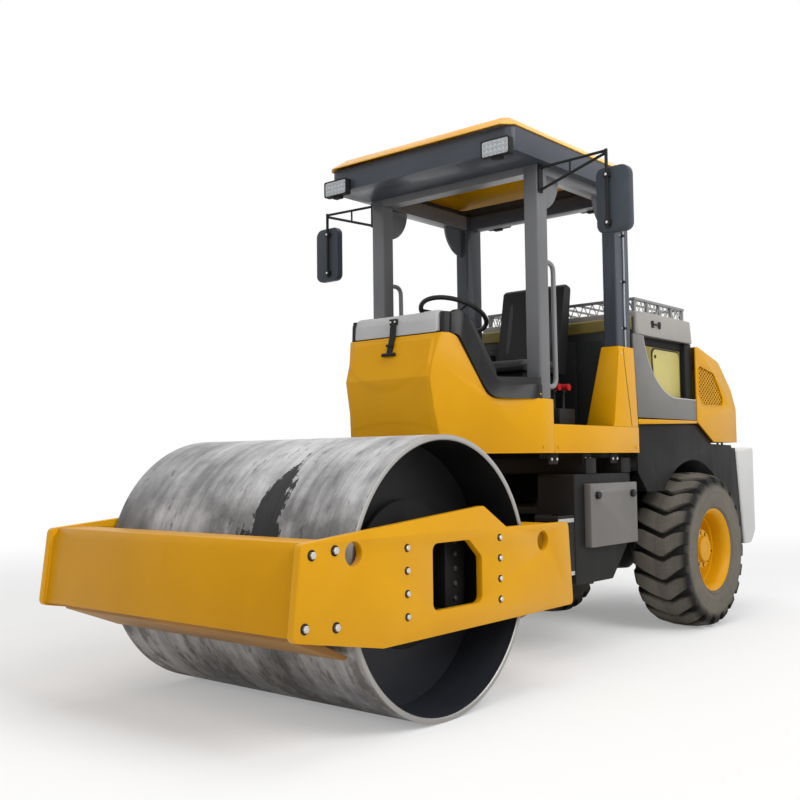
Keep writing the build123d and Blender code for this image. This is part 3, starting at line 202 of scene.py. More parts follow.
class Shader(Tree):
    """A material's tree, with the patterns that this machine's finishes use."""

    def __init__(self, name: str) -> None:
        """Make an empty material.

        Args:
            name: The material's name.
        """
        self.material = bpy.data.materials.new(name)
        self.material.use_nodes = True
        self.material.node_tree.nodes.clear()
        super().__init__(self.material.node_tree)
        self.place = self.node("ShaderNodeTexCoord", output="Object")
        self.facing = self.node("ShaderNodeTexCoord", output="Normal")

    def axis(self, name: str) -> Sock:
        """One coordinate of the place on the piece, in metres."""
        return self.node("ShaderNodeSeparateXYZ", inputs={0: self.place}, output=name)

    def upward(self) -> Sock:
        """How far the surface faces up, from -1 to 1."""
        return self.node("ShaderNodeSeparateXYZ", inputs={0: self.facing}, output="Z")

    def stretched(self, scale: Point) -> Sock:
        """The place on the piece, scaled along each axis."""
        return self.node("ShaderNodeVectorMath", {"operation": "MULTIPLY"}, {0: self.place, 1: scale})

    def distance(self, point: Point, scale: Point = (1.0, 1.0, 1.0)) -> Sock:
        """Distance from a point, after each axis is scaled.

        Args:
            point: The point in metres.
            scale: Factor for each axis.

        Returns:
            The scaled distance.
        """
        moved = self.node("ShaderNodeVectorMath", {"operation": "SUBTRACT"}, {0: self.place, 1: point})
        sized = self.node("ShaderNodeVectorMath", {"operation": "MULTIPLY"}, {0: moved, 1: scale})
        return self.node("ShaderNodeVectorMath", {"operation": "LENGTH"}, {0: sized}, "Value")

    def noise(self, scale: float, detail: float = 3.0, rough: float = 0.55, at: Optional[Sock] = None) -> Sock:
        """Cloudy noise round 0.5.

        Args:
            scale: Cells to a metre.
            detail: Octaves.
            rough: Share of the finer octaves.
            at: Other coordinates than the place on the piece.

        Returns:
            The noise value.
        """
        return self.node(
            "ShaderNodeTexNoise", {}, {"Vector": at or self.place, "Scale": scale, "Detail": detail, "Roughness": rough}
        )

    def mix(self, share: Number, low: Union[Sock, Colour], high: Union[Sock, Colour]) -> Sock:
        """Blend two colours.

        Args:
            share: 0 gives the first colour, 1 the second.
            low: First colour.
            high: Second colour.

        Returns:
            The blended colour.
        """
        ends = [value if isinstance(value, Sock) else (*value, 1.0) for value in (low, high)]
        return self.node("ShaderNodeMix", {"data_type": "RGBA"}, {0: share, 6: ends[0], 7: ends[1]}, 2)

    def bump(self, height: Sock, depth: float, strength: float = 1.0) -> Sock:
        """Normal of a surface raised by a height.

        Args:
            height: Height, 0 to 1.
            depth: Height of 1 in metres.
            strength: How strongly it shows.

        Returns:
            The bumped normal.
        """
        return self.node("ShaderNodeBump", {}, {"Height": height, "Distance": depth, "Strength": strength})

    def finish(self, **sockets: Any) -> bpy.types.Material:
        """Close the material with a Principled shader.

        Args:
            sockets: Inputs by name, with underscores for blanks.

        Returns:
            The material.
        """
        inputs = {}
        for name, value in sockets.items():
            title = name.replace("_", " ")
            inputs[title] = (*value, 1.0) if isinstance(value, tuple) and len(value) == 3 else value
        surface = self.node("ShaderNodeBsdfPrincipled", {}, inputs)
        self.node("ShaderNodeOutputMaterial", {}, {"Surface": surface}, None)
        return self.material


# ---------------------------------------------------------------- finishes
class Slot(Enum):
    """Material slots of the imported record."""

    YELLOW = "yellow_paint"
    DARK = "dark_steel"
    GREY = "grey_steel"
    LIGHT = "light_grey_paint"
    PALE = "pale_panel"
    DRUM = "drum_steel"
    BARE = "bare_steel"
    BLACK_PLASTIC = "black_plastic"
    GREY_PLASTIC = "grey_plastic"
    GLASS = "lamp_glass"
    BUFFER = "buffer_rubber"
    TYRE = "tyre_rubber"
    VINYL = "seat_vinyl"


@dataclass(frozen=True)
class PaintFinish:
    """Sprayed paint on sheet metal, with a little dust and handling marks."""

    name: str
    colour: Colour
    deep: Colour
    dust: Colour
    dusty: float = 0.35
    roughness: float = 0.32
    coat: float = 0.35
    shine: float = 0.4
    peel: float = 0.00115

    def build(self) -> bpy.types.Material:
        """Make the material."""
        paint = Shader(self.name)
        cloud = paint.noise(1.7, 4.0)
        shade = paint.mix(cloud.rise(0.3, 0.75), self.deep, self.colour)
        streak = paint.noise(3.0, 5.0, 0.6, paint.stretched((2.2, 2.2, 0.35)))
        smudge = streak.rise(0.56, 0.78) * paint.noise(14.0, 4.0).rise(0.4, 0.7)
        film = (paint.upward().rise(0.1, 1.0) * 0.55 + paint.axis("Z").fall(0.1, 1.3) * 0.3 + 0.12) * self.dusty
        speck = paint.noise(90.0, 2.0, 0.7).rise(0.66, 0.74) * 0.5
        share = (film * (0.6 + smudge) + speck * film).least(0.85)
        body = paint.mix(share, shade, self.dust)
        orange_peel = paint.noise(260.0, 2.0)
        ripple = paint.noise(9.0, 1.0)
        return paint.finish(
            Base_Color=body,
            Roughness=self.roughness + share * 0.45 + streak.rise(0.35, 0.8) * 0.08,
            Coat_Weight=(1.0 - share) * self.coat,
            Coat_Roughness=0.12,
            Specular_IOR_Level=self.shine,
            Normal=paint.bump(orange_peel * 0.35 + ripple * 0.65, self.peel, 0.35),
        )


@dataclass(frozen=True)
class DrumFinish:
    """Rolled drum plate: grey mill scale with streaks round it, a ragged dark patch, and soft painted shade over most
    of it below the top.
    """

    name: str
    centre: Point
    lit: Sequence[tuple[float, Colour]] = (
        (0.0, (0.19, 0.188, 0.192)), (0.38, (0.40, 0.398, 0.404)), (1.0, (0.74, 0.738, 0.748)),
    )

    def build(self) -> bpy.types.Material:
        """Make the material."""
        steel = Shader(self.name)
        cx, cy, cz = self.centre
        across = steel.axis("Y") - cy
        height = steel.axis("Z") - cz
        band = steel.noise(1.0, 6.0, 0.65, steel.stretched((1.0, 14.0, 1.0)))
        fine = steel.noise(1.0, 4.0, 0.6, steel.stretched((5.0, 120.0, 5.0)))
        cloud = steel.noise(2.3, 7.0, 0.66)
        tone = (band * 0.42 + fine * 0.16 + cloud * 0.62).rise(0.36, 0.80)
        base = steel.node("ShaderNodeValToRGB", {"stops": self.lit}, {0: tone}, "Color")
        lower = height.fall(-0.62, 0.12)
        grime = steel.noise(3.2, 8.0, 0.72, steel.stretched((1.0, 2.6, 1.0)))
        dirty = (grime + lower * 0.10).rise(0.55, 0.68) * (0.40 + lower * 0.45)
        grimy = steel.mix(dirty, base, steel.mix(lower, (0.045, 0.044, 0.044), (0.085, 0.062, 0.045)))
        muddy = steel.mix(lower * cloud.rise(0.3, 0.7) * 0.55, grimy, (0.15, 0.125, 0.10))
        ragged = steel.noise(11.0, 8.0, 0.75)
        drips = steel.noise(1.0, 5.0, 0.7, steel.stretched((3.0, 15.0, 3.0)))
        # Soft dark zones over most of the drum below its top: painted shade.
        painted_shade = steel.noise(1.7, 5.0, 0.6).rise(0.40, 0.60) * height.fall(0.30, 0.62)
        with_painted_shade = steel.mix(painted_shade * 0.72, muddy, (0.085, 0.084, 0.086))
        seams = abs(across - 0.315).fall(0.0015, 0.0045) * 0.55
        seamed = steel.mix(seams, with_painted_shade, (0.06, 0.06, 0.06))
        lean = (across - 0.285 - (height - 0.45) * 0.12) / (0.040 + (0.55 - height) * 0.20)
        reach = (height - 0.32) / 0.235
        spot = (lean * lean + reach * reach) ** 0.5
        front = steel.axis("X").rise(cx + 0.05, cx + 0.2)
        patch = (1.10 - spot + (ragged - 0.5) * 2.6 + (drips - 0.5) * 3.0).rise(0.0, 0.20) * front
        smears = (ragged * 0.5 + drips * 0.5 + cloud * 0.35).rise(0.73, 0.80) * height.rise(-0.1, 0.3)
        colour = steel.mix(patch.most(smears * 0.6) * 0.95, seamed, (0.010, 0.010, 0.0105))
        scratch = steel.noise(1.0, 3.0, 0.8, steel.stretched((0.6, 420.0, 0.6)))
        return steel.finish(
            Base_Color=colour,
            Roughness=0.55 + cloud * 0.2 - patch * 0.14,
            Metallic=(1.0 - patch) * 0.1,
            Specular_IOR_Level=0.2,
            Normal=steel.bump(cloud * 0.4 + fine * 0.3 + scratch * 0.3, 0.0012, 0.45),
        )


@dataclass(frozen=True)
class DrumInsideShade:
    """Inside of the drum: near-black painted shade, with a painted bluish reflection in streaks lower down."""

    name: str
    floor: float

    def build(self) -> bpy.types.Material:
        """Make the material."""
        inner = Shader(self.name)
        cloud = inner.noise(3.0, 6.0, 0.65)
        streaks = inner.noise(1.0, 5.0, 0.6, inner.stretched((2.0, 30.0, 2.0)))
        low = inner.axis("Z").fall(self.floor + 0.1, self.floor + 0.75)
        # Near-black painted shade for the whole inside and the heads.
        tone = inner.mix(cloud.rise(0.35, 0.7), (0.0075, 0.0075, 0.0085), (0.017, 0.017, 0.018))
        # Painted bluish reflection on the lower inside wall, in streaks.
        worn = inner.mix(low * (0.35 + streaks * 0.5), tone, (0.052, 0.057, 0.074))
        return inner.finish(
            Base_Color=worn,
            Roughness=0.50 - low * 0.16,
            Metallic=low * 0.1,
            Specular_IOR_Level=0.3,
            Normal=inner.bump(cloud, 0.0015, 0.4),
        )


@dataclass(frozen=True)
class RubberFinish:
    """Vulcanised rubber with dry dust on what stands out."""

    name: str
    axle: Point
    tread: float
    base: Colour = (0.017, 0.0165, 0.016)
    dust: Colour = (0.280, 0.255, 0.212)

    def build(self) -> bpy.types.Material:
        """Make the material."""
        rubber = Shader(self.name)
        radius = rubber.distance(self.axle, (1.0, 0.0, 1.0))
        cloud = rubber.noise(6.0, 6.0, 0.65)
        fine = rubber.noise(60.0, 4.0, 0.6)
        worn = radius.rise(self.tread - 0.042, self.tread - 0.004)
        wall = radius.fall(self.tread - 0.12, self.tread - 0.06)
        share = (worn * 0.80 + wall * 0.70) * (0.45 + cloud * 0.75) + fine.rise(0.55, 0.75) * 0.08
        dusted = rubber.mix(share.least(0.9), self.base, self.dust)
        chart = rubber.node("ShaderNodeUVMap", {"uv_map": "round_and_across"}, {}, "UV")
        along = rubber.node("ShaderNodeSeparateXYZ", {}, {"Vector": chart}, "X")
        across = rubber.node("ShaderNodeSeparateXYZ", {}, {"Vector": chart}, "Y")
        threads = abs((along * 350.0).wave()).least(abs((across * 350.0).wave())).rise(0.10, 0.45)
        grid = (1.0 - threads) * worn * across.rise(-0.02, 0.0)
        rings = (radius * 520.0).wave() * 0.5 + 0.5
        ribs = rings * radius.fall(self.tread - 0.2, self.tread - 0.11)
        return rubber.finish(
            Base_Color=rubber.mix(grid * 0.75, dusted, self.base),
            Roughness=0.72 + share * 0.2,
            Specular_IOR_Level=0.15,
            Normal=rubber.bump(fine * 0.4 + ribs * 0.2 + cloud * 0.2 - grid * 0.7, 0.0011, 0.6),
        )


@dataclass(frozen=True)
class PlasticFinish:
    """Moulded plastic, rubber or powder coat with a fine grain."""

    name: str
    colour: Colour
    worn: Colour
    roughness: float = 0.5
    grain: float = 0.0004
    scale: float = 420.0
    metallic: float = 0.0
    shine: float = 0.22

    def build(self) -> bpy.types.Material:
        """Make the material."""
        plastic = Shader(self.name)
        cloud = plastic.noise(4.0, 5.0, 0.6)
        grain = plastic.noise(self.scale, 2.0)
        dusty = plastic.upward().rise(0.2, 1.0) * cloud.rise(0.35, 0.7) * 0.5 + cloud.rise(0.55, 0.8) * 0.35
        return plastic.finish(
            Base_Color=plastic.mix(dusty, self.colour, self.worn),
            Roughness=self.roughness + dusty * 0.25 + grain * 0.06,
            Metallic=self.metallic,
            Specular_IOR_Level=self.shine,
            Normal=plastic.bump(grain, self.grain, 0.5),
        )


@dataclass(frozen=True)
class WovenFinish:
    """Woven vinyl of the seat."""

    name: str
    colour: Colour
    light: Colour

    def build(self) -> bpy.types.Material:
        """Make the material."""
        cloth = Shader(self.name)
        over = (cloth.axis("Y") * 1900.0).wave()
        under = (cloth.axis("Z") * 1900.0 + cloth.axis("X") * 1900.0).wave()
        weave = over * under * 0.5 + 0.5
        cloud = cloth.noise(5.0, 4.0)
        return cloth.finish(
            Base_Color=cloth.mix(weave * 0.4 + cloud * 0.4, self.colour, self.light),
            Roughness=0.7 + weave * 0.12,
            Normal=cloth.bump(weave, 0.0006, 0.6),
        )


@dataclass(frozen=True)
class FloorFinish:
    """Pale plain studio floor that runs into the white backdrop."""

    name: str = "studio_floor"
    colour: Colour = (0.86, 0.86, 0.86)
    speckle: Colour = (0.88, 0.88, 0.88)
    lift: float = 0.28
    near: float = 3.6
    far: float = 11.0

    def build(self) -> bpy.types.Material:
        """Make the material: its own shade and shadow near the machine, plain white further out."""
        floor = Shader(self.name)
        speck = floor.noise(3.0, 3.0)
        colour = floor.mix(speck, self.colour, self.speckle)
        lit = floor.node("ShaderNodeBsdfDiffuse", {}, {"Color": colour, "Roughness": 0.9})
        white = floor.node("ShaderNodeEmission", {}, {"Color": (1.0, 1.0, 1.0, 1.0), "Strength": 1.0})
        away = floor.distance((0.0, 0.0, 0.0), (1.0, 1.0, 0.0))
        share = floor.seen() * (self.lift + (1.0 - self.lift) * away.rise(self.near, self.far))
        both = floor.node("ShaderNodeMixShader", {}, {0: share, 1: lit, 2: white})
        floor.node("ShaderNodeOutputMaterial", {}, {"Surface": both}, None)
        return floor.material


DUST = (0.46, 0.41, 0.33)


class Look(Enum):
    """Finishes besides the slots' own, by the name of the material."""

    DRUM_INSIDE_SHADE = "drum_inside"
    DRUM_RIM = "drum_rim"
    RED = "knob_red"
    ZINC = "bolt_zinc"
    CLEAR = "tube_clear"
    MIRROR = "mirror_face"
    MIRROR_SHELL = "mirror_shell"
    RAIL_GREY = "paint_rail"
    TAUPE = "paint_taupe"
    # Scrapers' yellow, darkened for dirt and for painted shadow.
    DIRTY_SHADED_YELLOW = "paint_yellow_worn"
    # Front beam's yellow, the same paint darkened as painted shade.
    SHADED_BEAM_YELLOW = "paint_yellow_beam"
    BULKHEAD_GREY = "paint_bulkhead"
    SLATE = "paint_slate"
    POST_GREY = "paint_post"
    OLIVE = "paint_olive"
    LID_GREY = "moulded_lid"
    RIM_LIGHT = "rolled_edge"
    TRIM_GREY = "trim_grey"
    GLOSS_BLACK = "trim_gloss"


Key = Union[Slot, Look]


@dataclass
class FinishShelf:
    """All finishes of the machine, and the dressing of the CAD nodes with them."""

    paints: Sequence[tuple] = (
        # key, material, colour, deeper colour, dust's colour, share of dust, roughness, coat, shine
        (Slot.YELLOW, "paint_yellow", (0.755, 0.368, 0.0012), (0.69, 0.325, 0.001), (0.40, 0.29, 0.10),
         0.06, 0.33, 0.05, 0.16),
        (Slot.DARK, "paint_dark", (0.0155, 0.0155, 0.016), (0.009, 0.009, 0.0095), DUST, 0.07, 0.55, 0.02, 0.16),
        (Slot.GREY, "paint_grey", (0.178, 0.171, 0.162), (0.142, 0.136, 0.130), DUST, 0.15, 0.42, 0.1, 0.3),
        (Slot.LIGHT, "paint_light_grey", (0.68, 0.68, 0.67), (0.61, 0.61, 0.60), DUST, 0.2, 0.45, 0.1),
        (Slot.PALE, "paint_pale", (0.62, 0.53, 0.16), (0.55, 0.47, 0.14), DUST, 0.3, 0.4, 0.1),
        (Look.RAIL_GREY, "paint_rail", (0.26, 0.262, 0.27), (0.22, 0.222, 0.23), DUST, 0.15, 0.4, 0.1),
        (Look.TAUPE, "paint_taupe", (0.36, 0.345, 0.325), (0.31, 0.295, 0.28), DUST, 0.3, 0.45, 0.1),
        # Scrapers' yellow: darker and browner for dirt and for painted shadow under the front beam, with a large share
        # of dark dust colour.
        (Look.DIRTY_SHADED_YELLOW, "paint_yellow_worn", (0.56, 0.255, 0.012), (0.33, 0.16, 0.022), (0.16, 0.10, 0.06),
         0.75, 0.5, 0.05),
        # Front beam's yellow: the same paint darkened, as painted shade of the beam's front faces.
        (Look.SHADED_BEAM_YELLOW, "paint_yellow_beam", (0.64, 0.302, 0.001), (0.58, 0.268, 0.001), (0.36, 0.26, 0.09),
         0.05, 0.35, 0.04, 0.12),
        (Look.BULKHEAD_GREY, "paint_bulkhead", (0.040, 0.043, 0.045), (0.030, 0.032, 0.034), DUST,
         0.10, 0.42, 0.05, 0.25),
        (Look.SLATE, "paint_slate", (0.055, 0.064, 0.082), (0.042, 0.049, 0.062), DUST, 0.08, 0.4, 0.1, 0.3),
        (Look.POST_GREY, "paint_post", (0.155, 0.158, 0.166), (0.125, 0.128, 0.134), DUST, 0.12, 0.4, 0.1),
        (Look.OLIVE, "paint_olive", (0.30, 0.235, 0.055), (0.25, 0.195, 0.045), DUST, 0.2, 0.5, 0.05),
        (Look.LID_GREY, "moulded_lid", (0.53, 0.53, 0.535), (0.45, 0.45, 0.455), DUST, 0.12, 0.5, 0.05),
        (Look.RIM_LIGHT, "rolled_edge", (0.52, 0.52, 0.51), (0.44, 0.44, 0.43), DUST, 0.2, 0.4, 0.1),
    )
    plastics: Sequence[tuple] = (
        # key, material, colour, worn colour, roughness, depth of the grain, its scale, metallic, shine
        (Slot.BARE, "steel_bare", (0.55, 0.55, 0.56), (0.38, 0.36, 0.33), 0.3, 0.0002, 300.0, 0.95, 0.5),
        (Slot.BLACK_PLASTIC, "plastic_black", (0.014, 0.014, 0.015), (0.045, 0.043, 0.040), 0.45),
        (Slot.GREY_PLASTIC, "plastic_grey", (0.115, 0.12, 0.128), (0.20, 0.20, 0.19), 0.5),
        (Slot.GLASS, "lamp_clear", (0.70, 0.71, 0.72), (0.6, 0.6, 0.58), 0.12, 0.0001, 90.0),
        (Slot.BUFFER, "rubber_black", (0.016, 0.016, 0.016), (0.045, 0.042, 0.038), 0.75),
        (Look.RED, "knob_red", (0.42, 0.012, 0.014), (0.25, 0.05, 0.04), 0.35),
        (Look.ZINC, "bolt_zinc", (0.62, 0.61, 0.58), (0.40, 0.38, 0.33), 0.32, 0.0002, 260.0, 0.85),
        (Look.CLEAR, "tube_clear", (0.42, 0.45, 0.48), (0.30, 0.31, 0.32), 0.18, 0.0001, 200.0),
        (Look.MIRROR, "mirror_face", (0.80, 0.82, 0.84), (0.6, 0.6, 0.6), 0.05, 0.00002, 40.0, 1.0),
        (Look.DRUM_RIM, "drum_rim", (0.40, 0.39, 0.375), (0.24, 0.225, 0.20), 0.4, 0.0004, 160.0, 0.5),
        (Look.MIRROR_SHELL, "mirror_shell", (0.048, 0.058, 0.073), (0.12, 0.12, 0.12), 0.45),
        (Look.TRIM_GREY, "trim_grey", (0.052, 0.056, 0.058), (0.085, 0.085, 0.085), 0.22, 0.0003, 420.0, 0.0, 0.3),
        (Look.GLOSS_BLACK, "trim_gloss", (0.008, 0.008, 0.009), (0.020, 0.020, 0.020), 0.24, 0.0003),
    )
    made: dict[Key, bpy.types.Material] = field(default_factory=dict)

    def build(self) -> None:
        """Make every finish once."""
        shell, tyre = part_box("drum_shell"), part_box("tyre_left")
        for kind, table in ((PaintFinish, self.paints), (PlasticFinish, self.plastics)):
            for key, *values in table:
                self.made[key] = kind(*values).build()
        self.made[Slot.DRUM] = DrumFinish("drum_plate", tuple(middle("drum_shell"))).build()
        self.made[Slot.TYRE] = RubberFinish(
            "tyre_rubber_dusty", tuple(middle("tyre_left")), (tyre[1].z - tyre[0].z) / 2
        ).build()
        self.made[Slot.VINYL] = WovenFinish("vinyl_woven", (0.024, 0.025, 0.028), (0.066, 0.068, 0.074)).build()
        self.made[Look.DRUM_INSIDE_SHADE] = DrumInsideShade("drum_inside", shell[0].z).build()

    def dress_nodes(self) -> None:
        """Give every CAD node the material of its slot."""
        slots = {part["node"]: Slot(part["material_slot"]) for part in frame["record"]["subparts"]}
        for name, node in frame["nodes"].items():
            node.data.materials.clear()
            node.data.materials.append(self.made[Look.RAIL_GREY if name == "shroud_guard" else slots[name]])


# ---------------------------------------------------------------- making meshes
def middle(node: str) -> Vector:
    """Middle of a CAD node's box."""
    low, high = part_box(node)
    return (low + high) / 2


def link(name: str, mesh: bpy.types.Mesh, material: bpy.types.Material) -> bpy.types.Object:
    """Put a mesh into the scene as a piece.

    Args:
        name: The piece's name.
        mesh: Its mesh, already in place.
        material: Its only material, unless the mesh has some.

    Returns:
        The new object.
    """
    piece = bpy.data.objects.new(name, mesh)
    bpy.context.scene.collection.objects.link(piece)
    if not mesh.materials:
        mesh.materials.append(material)
    return piece


def baked(piece: bpy.types.Object) -> bpy.types.Mesh:
    """The mesh of an object after its modifiers or its curve's bevel.

    Args:
        piece: The object.

    Returns:
        A new mesh.
    """
    bpy.context.view_layer.update()
    graph = bpy.context.evaluated_depsgraph_get()
    return bpy.data.meshes.new_from_object(piece.evaluated_get(graph), depsgraph=graph)


def settle(piece: bpy.types.Object) -> bpy.types.Object:
    """Turn a piece's modifiers into its plain mesh.

    Args:
        piece: The piece with modifiers.

    Returns:
        The same piece without them.
    """
    mesh = baked(piece)
    piece.modifiers.clear()
    piece.data = mesh
    return piece


def shade(piece: bpy.types.Object, degrees: float = 32.0) -> bpy.types.Object:
    """Shade a piece smooth up to an angle.

    Args:
        piece: The piece.
        degrees: Edges sharper than this stay sharp.

    Returns:
        The same piece.
    """
    mesh = piece.data
    mesh.polygons.foreach_set("use_smooth", [True] * len(mesh.polygons))
    mesh.set_sharp_from_angle(angle=math.radians(degrees))
    return piece


def round_edges(piece: bpy.types.Object, width: float, segments: int = 2) -> bpy.types.Object:
    """Round a piece's sharp edges and apply it.

    Args:
        piece: The piece.
        width: Width of the rounding in metres.
        segments: Steps of the rounding.

    Returns:
        The same piece.
    """
    bevel = piece.modifiers.new("round", "BEVEL")
    bevel.width = width
    bevel.segments = segments
    bevel.limit_method = "ANGLE"
    bevel.angle_limit = math.radians(35.0)
    bevel.use_clamp_overlap = True
    bevel.harden_normals = False
    return shade(settle(piece), 40.0)


def outward(mesh: bpy.types.Mesh, merge: float = 1e-5) -> bpy.types.Mesh:
    """Merge doubles and turn the faces outwards.

    Args:
        mesh: The mesh.
        merge: Distance under which points are joined.

    Returns:
        The same mesh.
    """
    work = bmesh.new()
    work.from_mesh(mesh)
    bmesh.ops.remove_doubles(work, verts=work.verts, dist=merge)
    bmesh.ops.recalc_face_normals(work, faces=work.faces)
    work.to_mesh(mesh)
    work.free()
    return mesh


def join(name: str, meshes: Iterable[bpy.types.Mesh]) -> bpy.types.Mesh:
    """Join meshes into one.

    Args:
        name: Name of the new mesh.
        meshes: The meshes, in place.

    Returns:
        The joined mesh.
    """
    work = bmesh.new()
    for mesh in meshes:
        work.from_mesh(mesh)
    joined = bpy.data.meshes.new(name)
    work.to_mesh(joined)
    work.free()
    return joined


def mesh_of(name: str, points: Sequence[Sequence[float]], faces: Sequence[Sequence[int]] = ()) -> bpy.types.Mesh:
    """A new mesh from its points and faces.

    Args:
        name: Name of the mesh.
        points: Where its points are.
        faces: The points round each face.

    Returns:
        The mesh.
    """
    mesh = bpy.data.meshes.new(name)
    mesh.from_pydata(points, [], faces)
    return mesh


def quads(rows: int, count: int, round_rows: bool = False, round_count: bool = True) -> list[tuple[int, ...]]:
    """Four-sided faces between rows of points.

    Args:
        rows: How many rows there are.
        count: Points in each row.
        round_rows: Whether the last row joins the first.
        round_count: Whether the last point of a row joins its first.

    Returns:
        The faces.
    """
    faces = []
    for i in range(rows if round_rows else rows - 1):
        here, ahead = i * count, (i + 1) % rows * count
        for k in range(count if round_count else count - 1):
            m = (k + 1) % count
            faces.append((here + k, here + m, ahead + m, ahead + k))
    return faces


def skin(name: str, loops: Sequence[Sequence[Point]]) -> bpy.types.Mesh:
    """A closed body through loops of as many points each, with flat ends.

    Args:
        name: Name of the mesh.
        loops: The loops, from one end to the other.

    Returns:
        The mesh.
    """
    count = len(loops[0])
    last = (len(loops) - 1) * count
    ends = [tuple(range(count)), tuple(range(last, last + count))]
    return outward(mesh_of(name, [point for loop in loops for point in loop], ends + quads(len(loops), count)))


def lathe(
    name: str, section: Sequence[Flat], centre: Vector, axis: str = "Y", steps: int = 160
) -> bpy.types.Mesh:
    """Turn a closed section about an axis.

    Args:
        name: Name of the mesh.
        section: Points as (along the axis from the centre, radius), round the solid.
        centre: Point on the axis.
        axis: "Y" or "X" or "Z".
        steps: Steps round the turn.

    Returns:
        The mesh.
    """
    place = {"Y": lambda a, u, v: (u, a, v), "X": lambda a, u, v: (a, u, v), "Z": lambda a, u, v: (u, v, a)}[axis]
    points = []
    for i in range(steps):
        angle = 2 * math.pi * i / steps
        for along, radius in section:
            points.append(Vector(place(along, radius * math.cos(angle), radius * math.sin(angle))) + centre)
    count = len(section)
    on_axis = [radius < 1e-9 for _, radius in section]
    faces = [face for face in quads(steps, count, True) if not (on_axis[face[0] % count] and on_axis[face[1] % count])]
    mesh = mesh_of(name, points, faces)
    mesh.validate()
    return outward(mesh)


def plate(name: str, outline: Sequence[Flat], start: float, end: float, view: str = "Y") -> bpy.types.Mesh:
    """A flat plate from its outline.

    Args:
        name: Name of the mesh.
        outline: Corners; (x, z) for a side view, (x, y) from above, (y, z) from the front.
        start: One of its faces along the line of sight.
        end: The other face.
        view: The axis that it is seen along.

    Returns:
        The mesh.
    """
    place = {"Y": lambda a, b, h: (a, h, b), "Z": lambda a, b, h: (a, b, h), "X": lambda a, b, h: (h, a, b)}[view]
    count = len(outline)
    points = [place(a, b, height) for height in (start, end) for a, b in outline]
    ends = [tuple(range(count)), tuple(range(2 * count - 1, count - 1, -1))]
    return outward(mesh_of(name, points, ends + quads(2, count)))


def rectangle(low: Flat, high: Flat, radius: float = 0.0, steps: int = 5) -> list[Flat]:
    """Outline of a rectangle with rounded corners.

    Args:
        low: Its lower corner.
        high: Its upper corner.
        radius: Radius of its corners.
        steps: Steps of each rounding.

    Returns:
        The outline's points.
    """
    corners = [(low[0], low[1]), (high[0], low[1]), (high[0], high[1]), (low[0], high[1])]
    return rounded([(a, b, radius) for a, b in corners], steps)


def block(name: str, low: Sequence[float], high: Sequence[float]) -> bpy.types.Mesh:
    """A box between two corners, as the start of a bevelled piece."""
    return plate(name, rectangle((low[0], low[2]), (high[0], high[2])), low[1], high[1])


def scaled(outline: Sequence[Flat], centre: Flat, wide: float, tall: float) -> list[Flat]:
    """An outline scaled about a point.

    Args:
        outline: Its points.
        centre: The point that stays.
        wide: Factor of the first coordinate.
        tall: Factor of the second one.

    Returns:
        The scaled points.
    """
    return [(centre[0] + (a - centre[0]) * wide, centre[1] + (b - centre[1]) * tall) for a, b in outline]


def mean(outline: Sequence[Flat]) -> Flat:
    """Mean of an outline's points."""
    return sum(a for a, _ in outline) / len(outline), sum(b for _, b in outline) / len(outline)


def rounded(corners: Sequence[Point], steps: int = 5) -> list[Flat]:
    """Outline with rounded corners.

    Args:
        corners: Corners as (a, b, radius).
        steps: Steps of each rounding.

    Returns:
        The outline's points.
    """
    outline = []
    count = len(corners)
    for i, (a, b, radius) in enumerate(corners):
        here = Vector((a, b))
        if radius <= 0:
            outline.append((a, b))
            continue
        back = (Vector(corners[i - 1][:2]) - here).normalized()
        ahead = (Vector(corners[(i + 1) % count][:2]) - here).normalized()
        half = back.angle(ahead) / 2
        reach = radius / math.tan(half)
        start = here + back * reach
        end = here + ahead * reach
        centre = here + (back + ahead).normalized() * (radius / math.sin(half))
        first = math.atan2(*(start - centre).yx)
        turn = math.atan2(*(end - centre).yx) - first
        turn = (turn + math.pi) % (2 * math.pi) - math.pi
        outline += arc(centre, radius, first, turn, steps)
    return outline


def arc(centre: Vector, radius: float, first: float, turn: float, steps: int) -> list[Flat]:
    """Points along an arc.

    Args:
        centre: Its centre.
        radius: Its radius.
        first: Angle of its start, in radians.
        turn: Angle that it covers.
        steps: Steps along it.

    Returns:
        The points.
    """
    angles = [first + turn * i / steps for i in range(steps + 1)]
    return [(centre.x + radius * math.cos(angle), centre.y + radius * math.sin(angle)) for angle in angles]


def arc_through(a: Flat, b: Flat, c: Flat, steps: int) -> list[Flat]:
    """Points on the arc from a over b to c.

    Args:
        a: Its start.
        b: A point on it.
        c: Its end.
        steps: Steps along it.

    Returns:
        The points.
    """
    start, over, end = Vector(a), Vector(b), Vector(c)
    corners = ((start, over, end), (over, end, start), (end, start, over))
    double = 2 * sum(p.x * (q.y - r.y) for p, q, r in corners)
    centre = Vector((
        sum(p.length_squared * (q.y - r.y) for p, q, r in corners) / double,
        sum(p.length_squared * (r.x - q.x) for p, q, r in corners) / double,
    ))
    first = math.atan2(*(start - centre).yx)
    turn = (math.atan2(*(end - centre).yx) - first + math.pi) % (2 * math.pi) - math.pi
    return arc(centre, (start - centre).length, first, turn, steps)


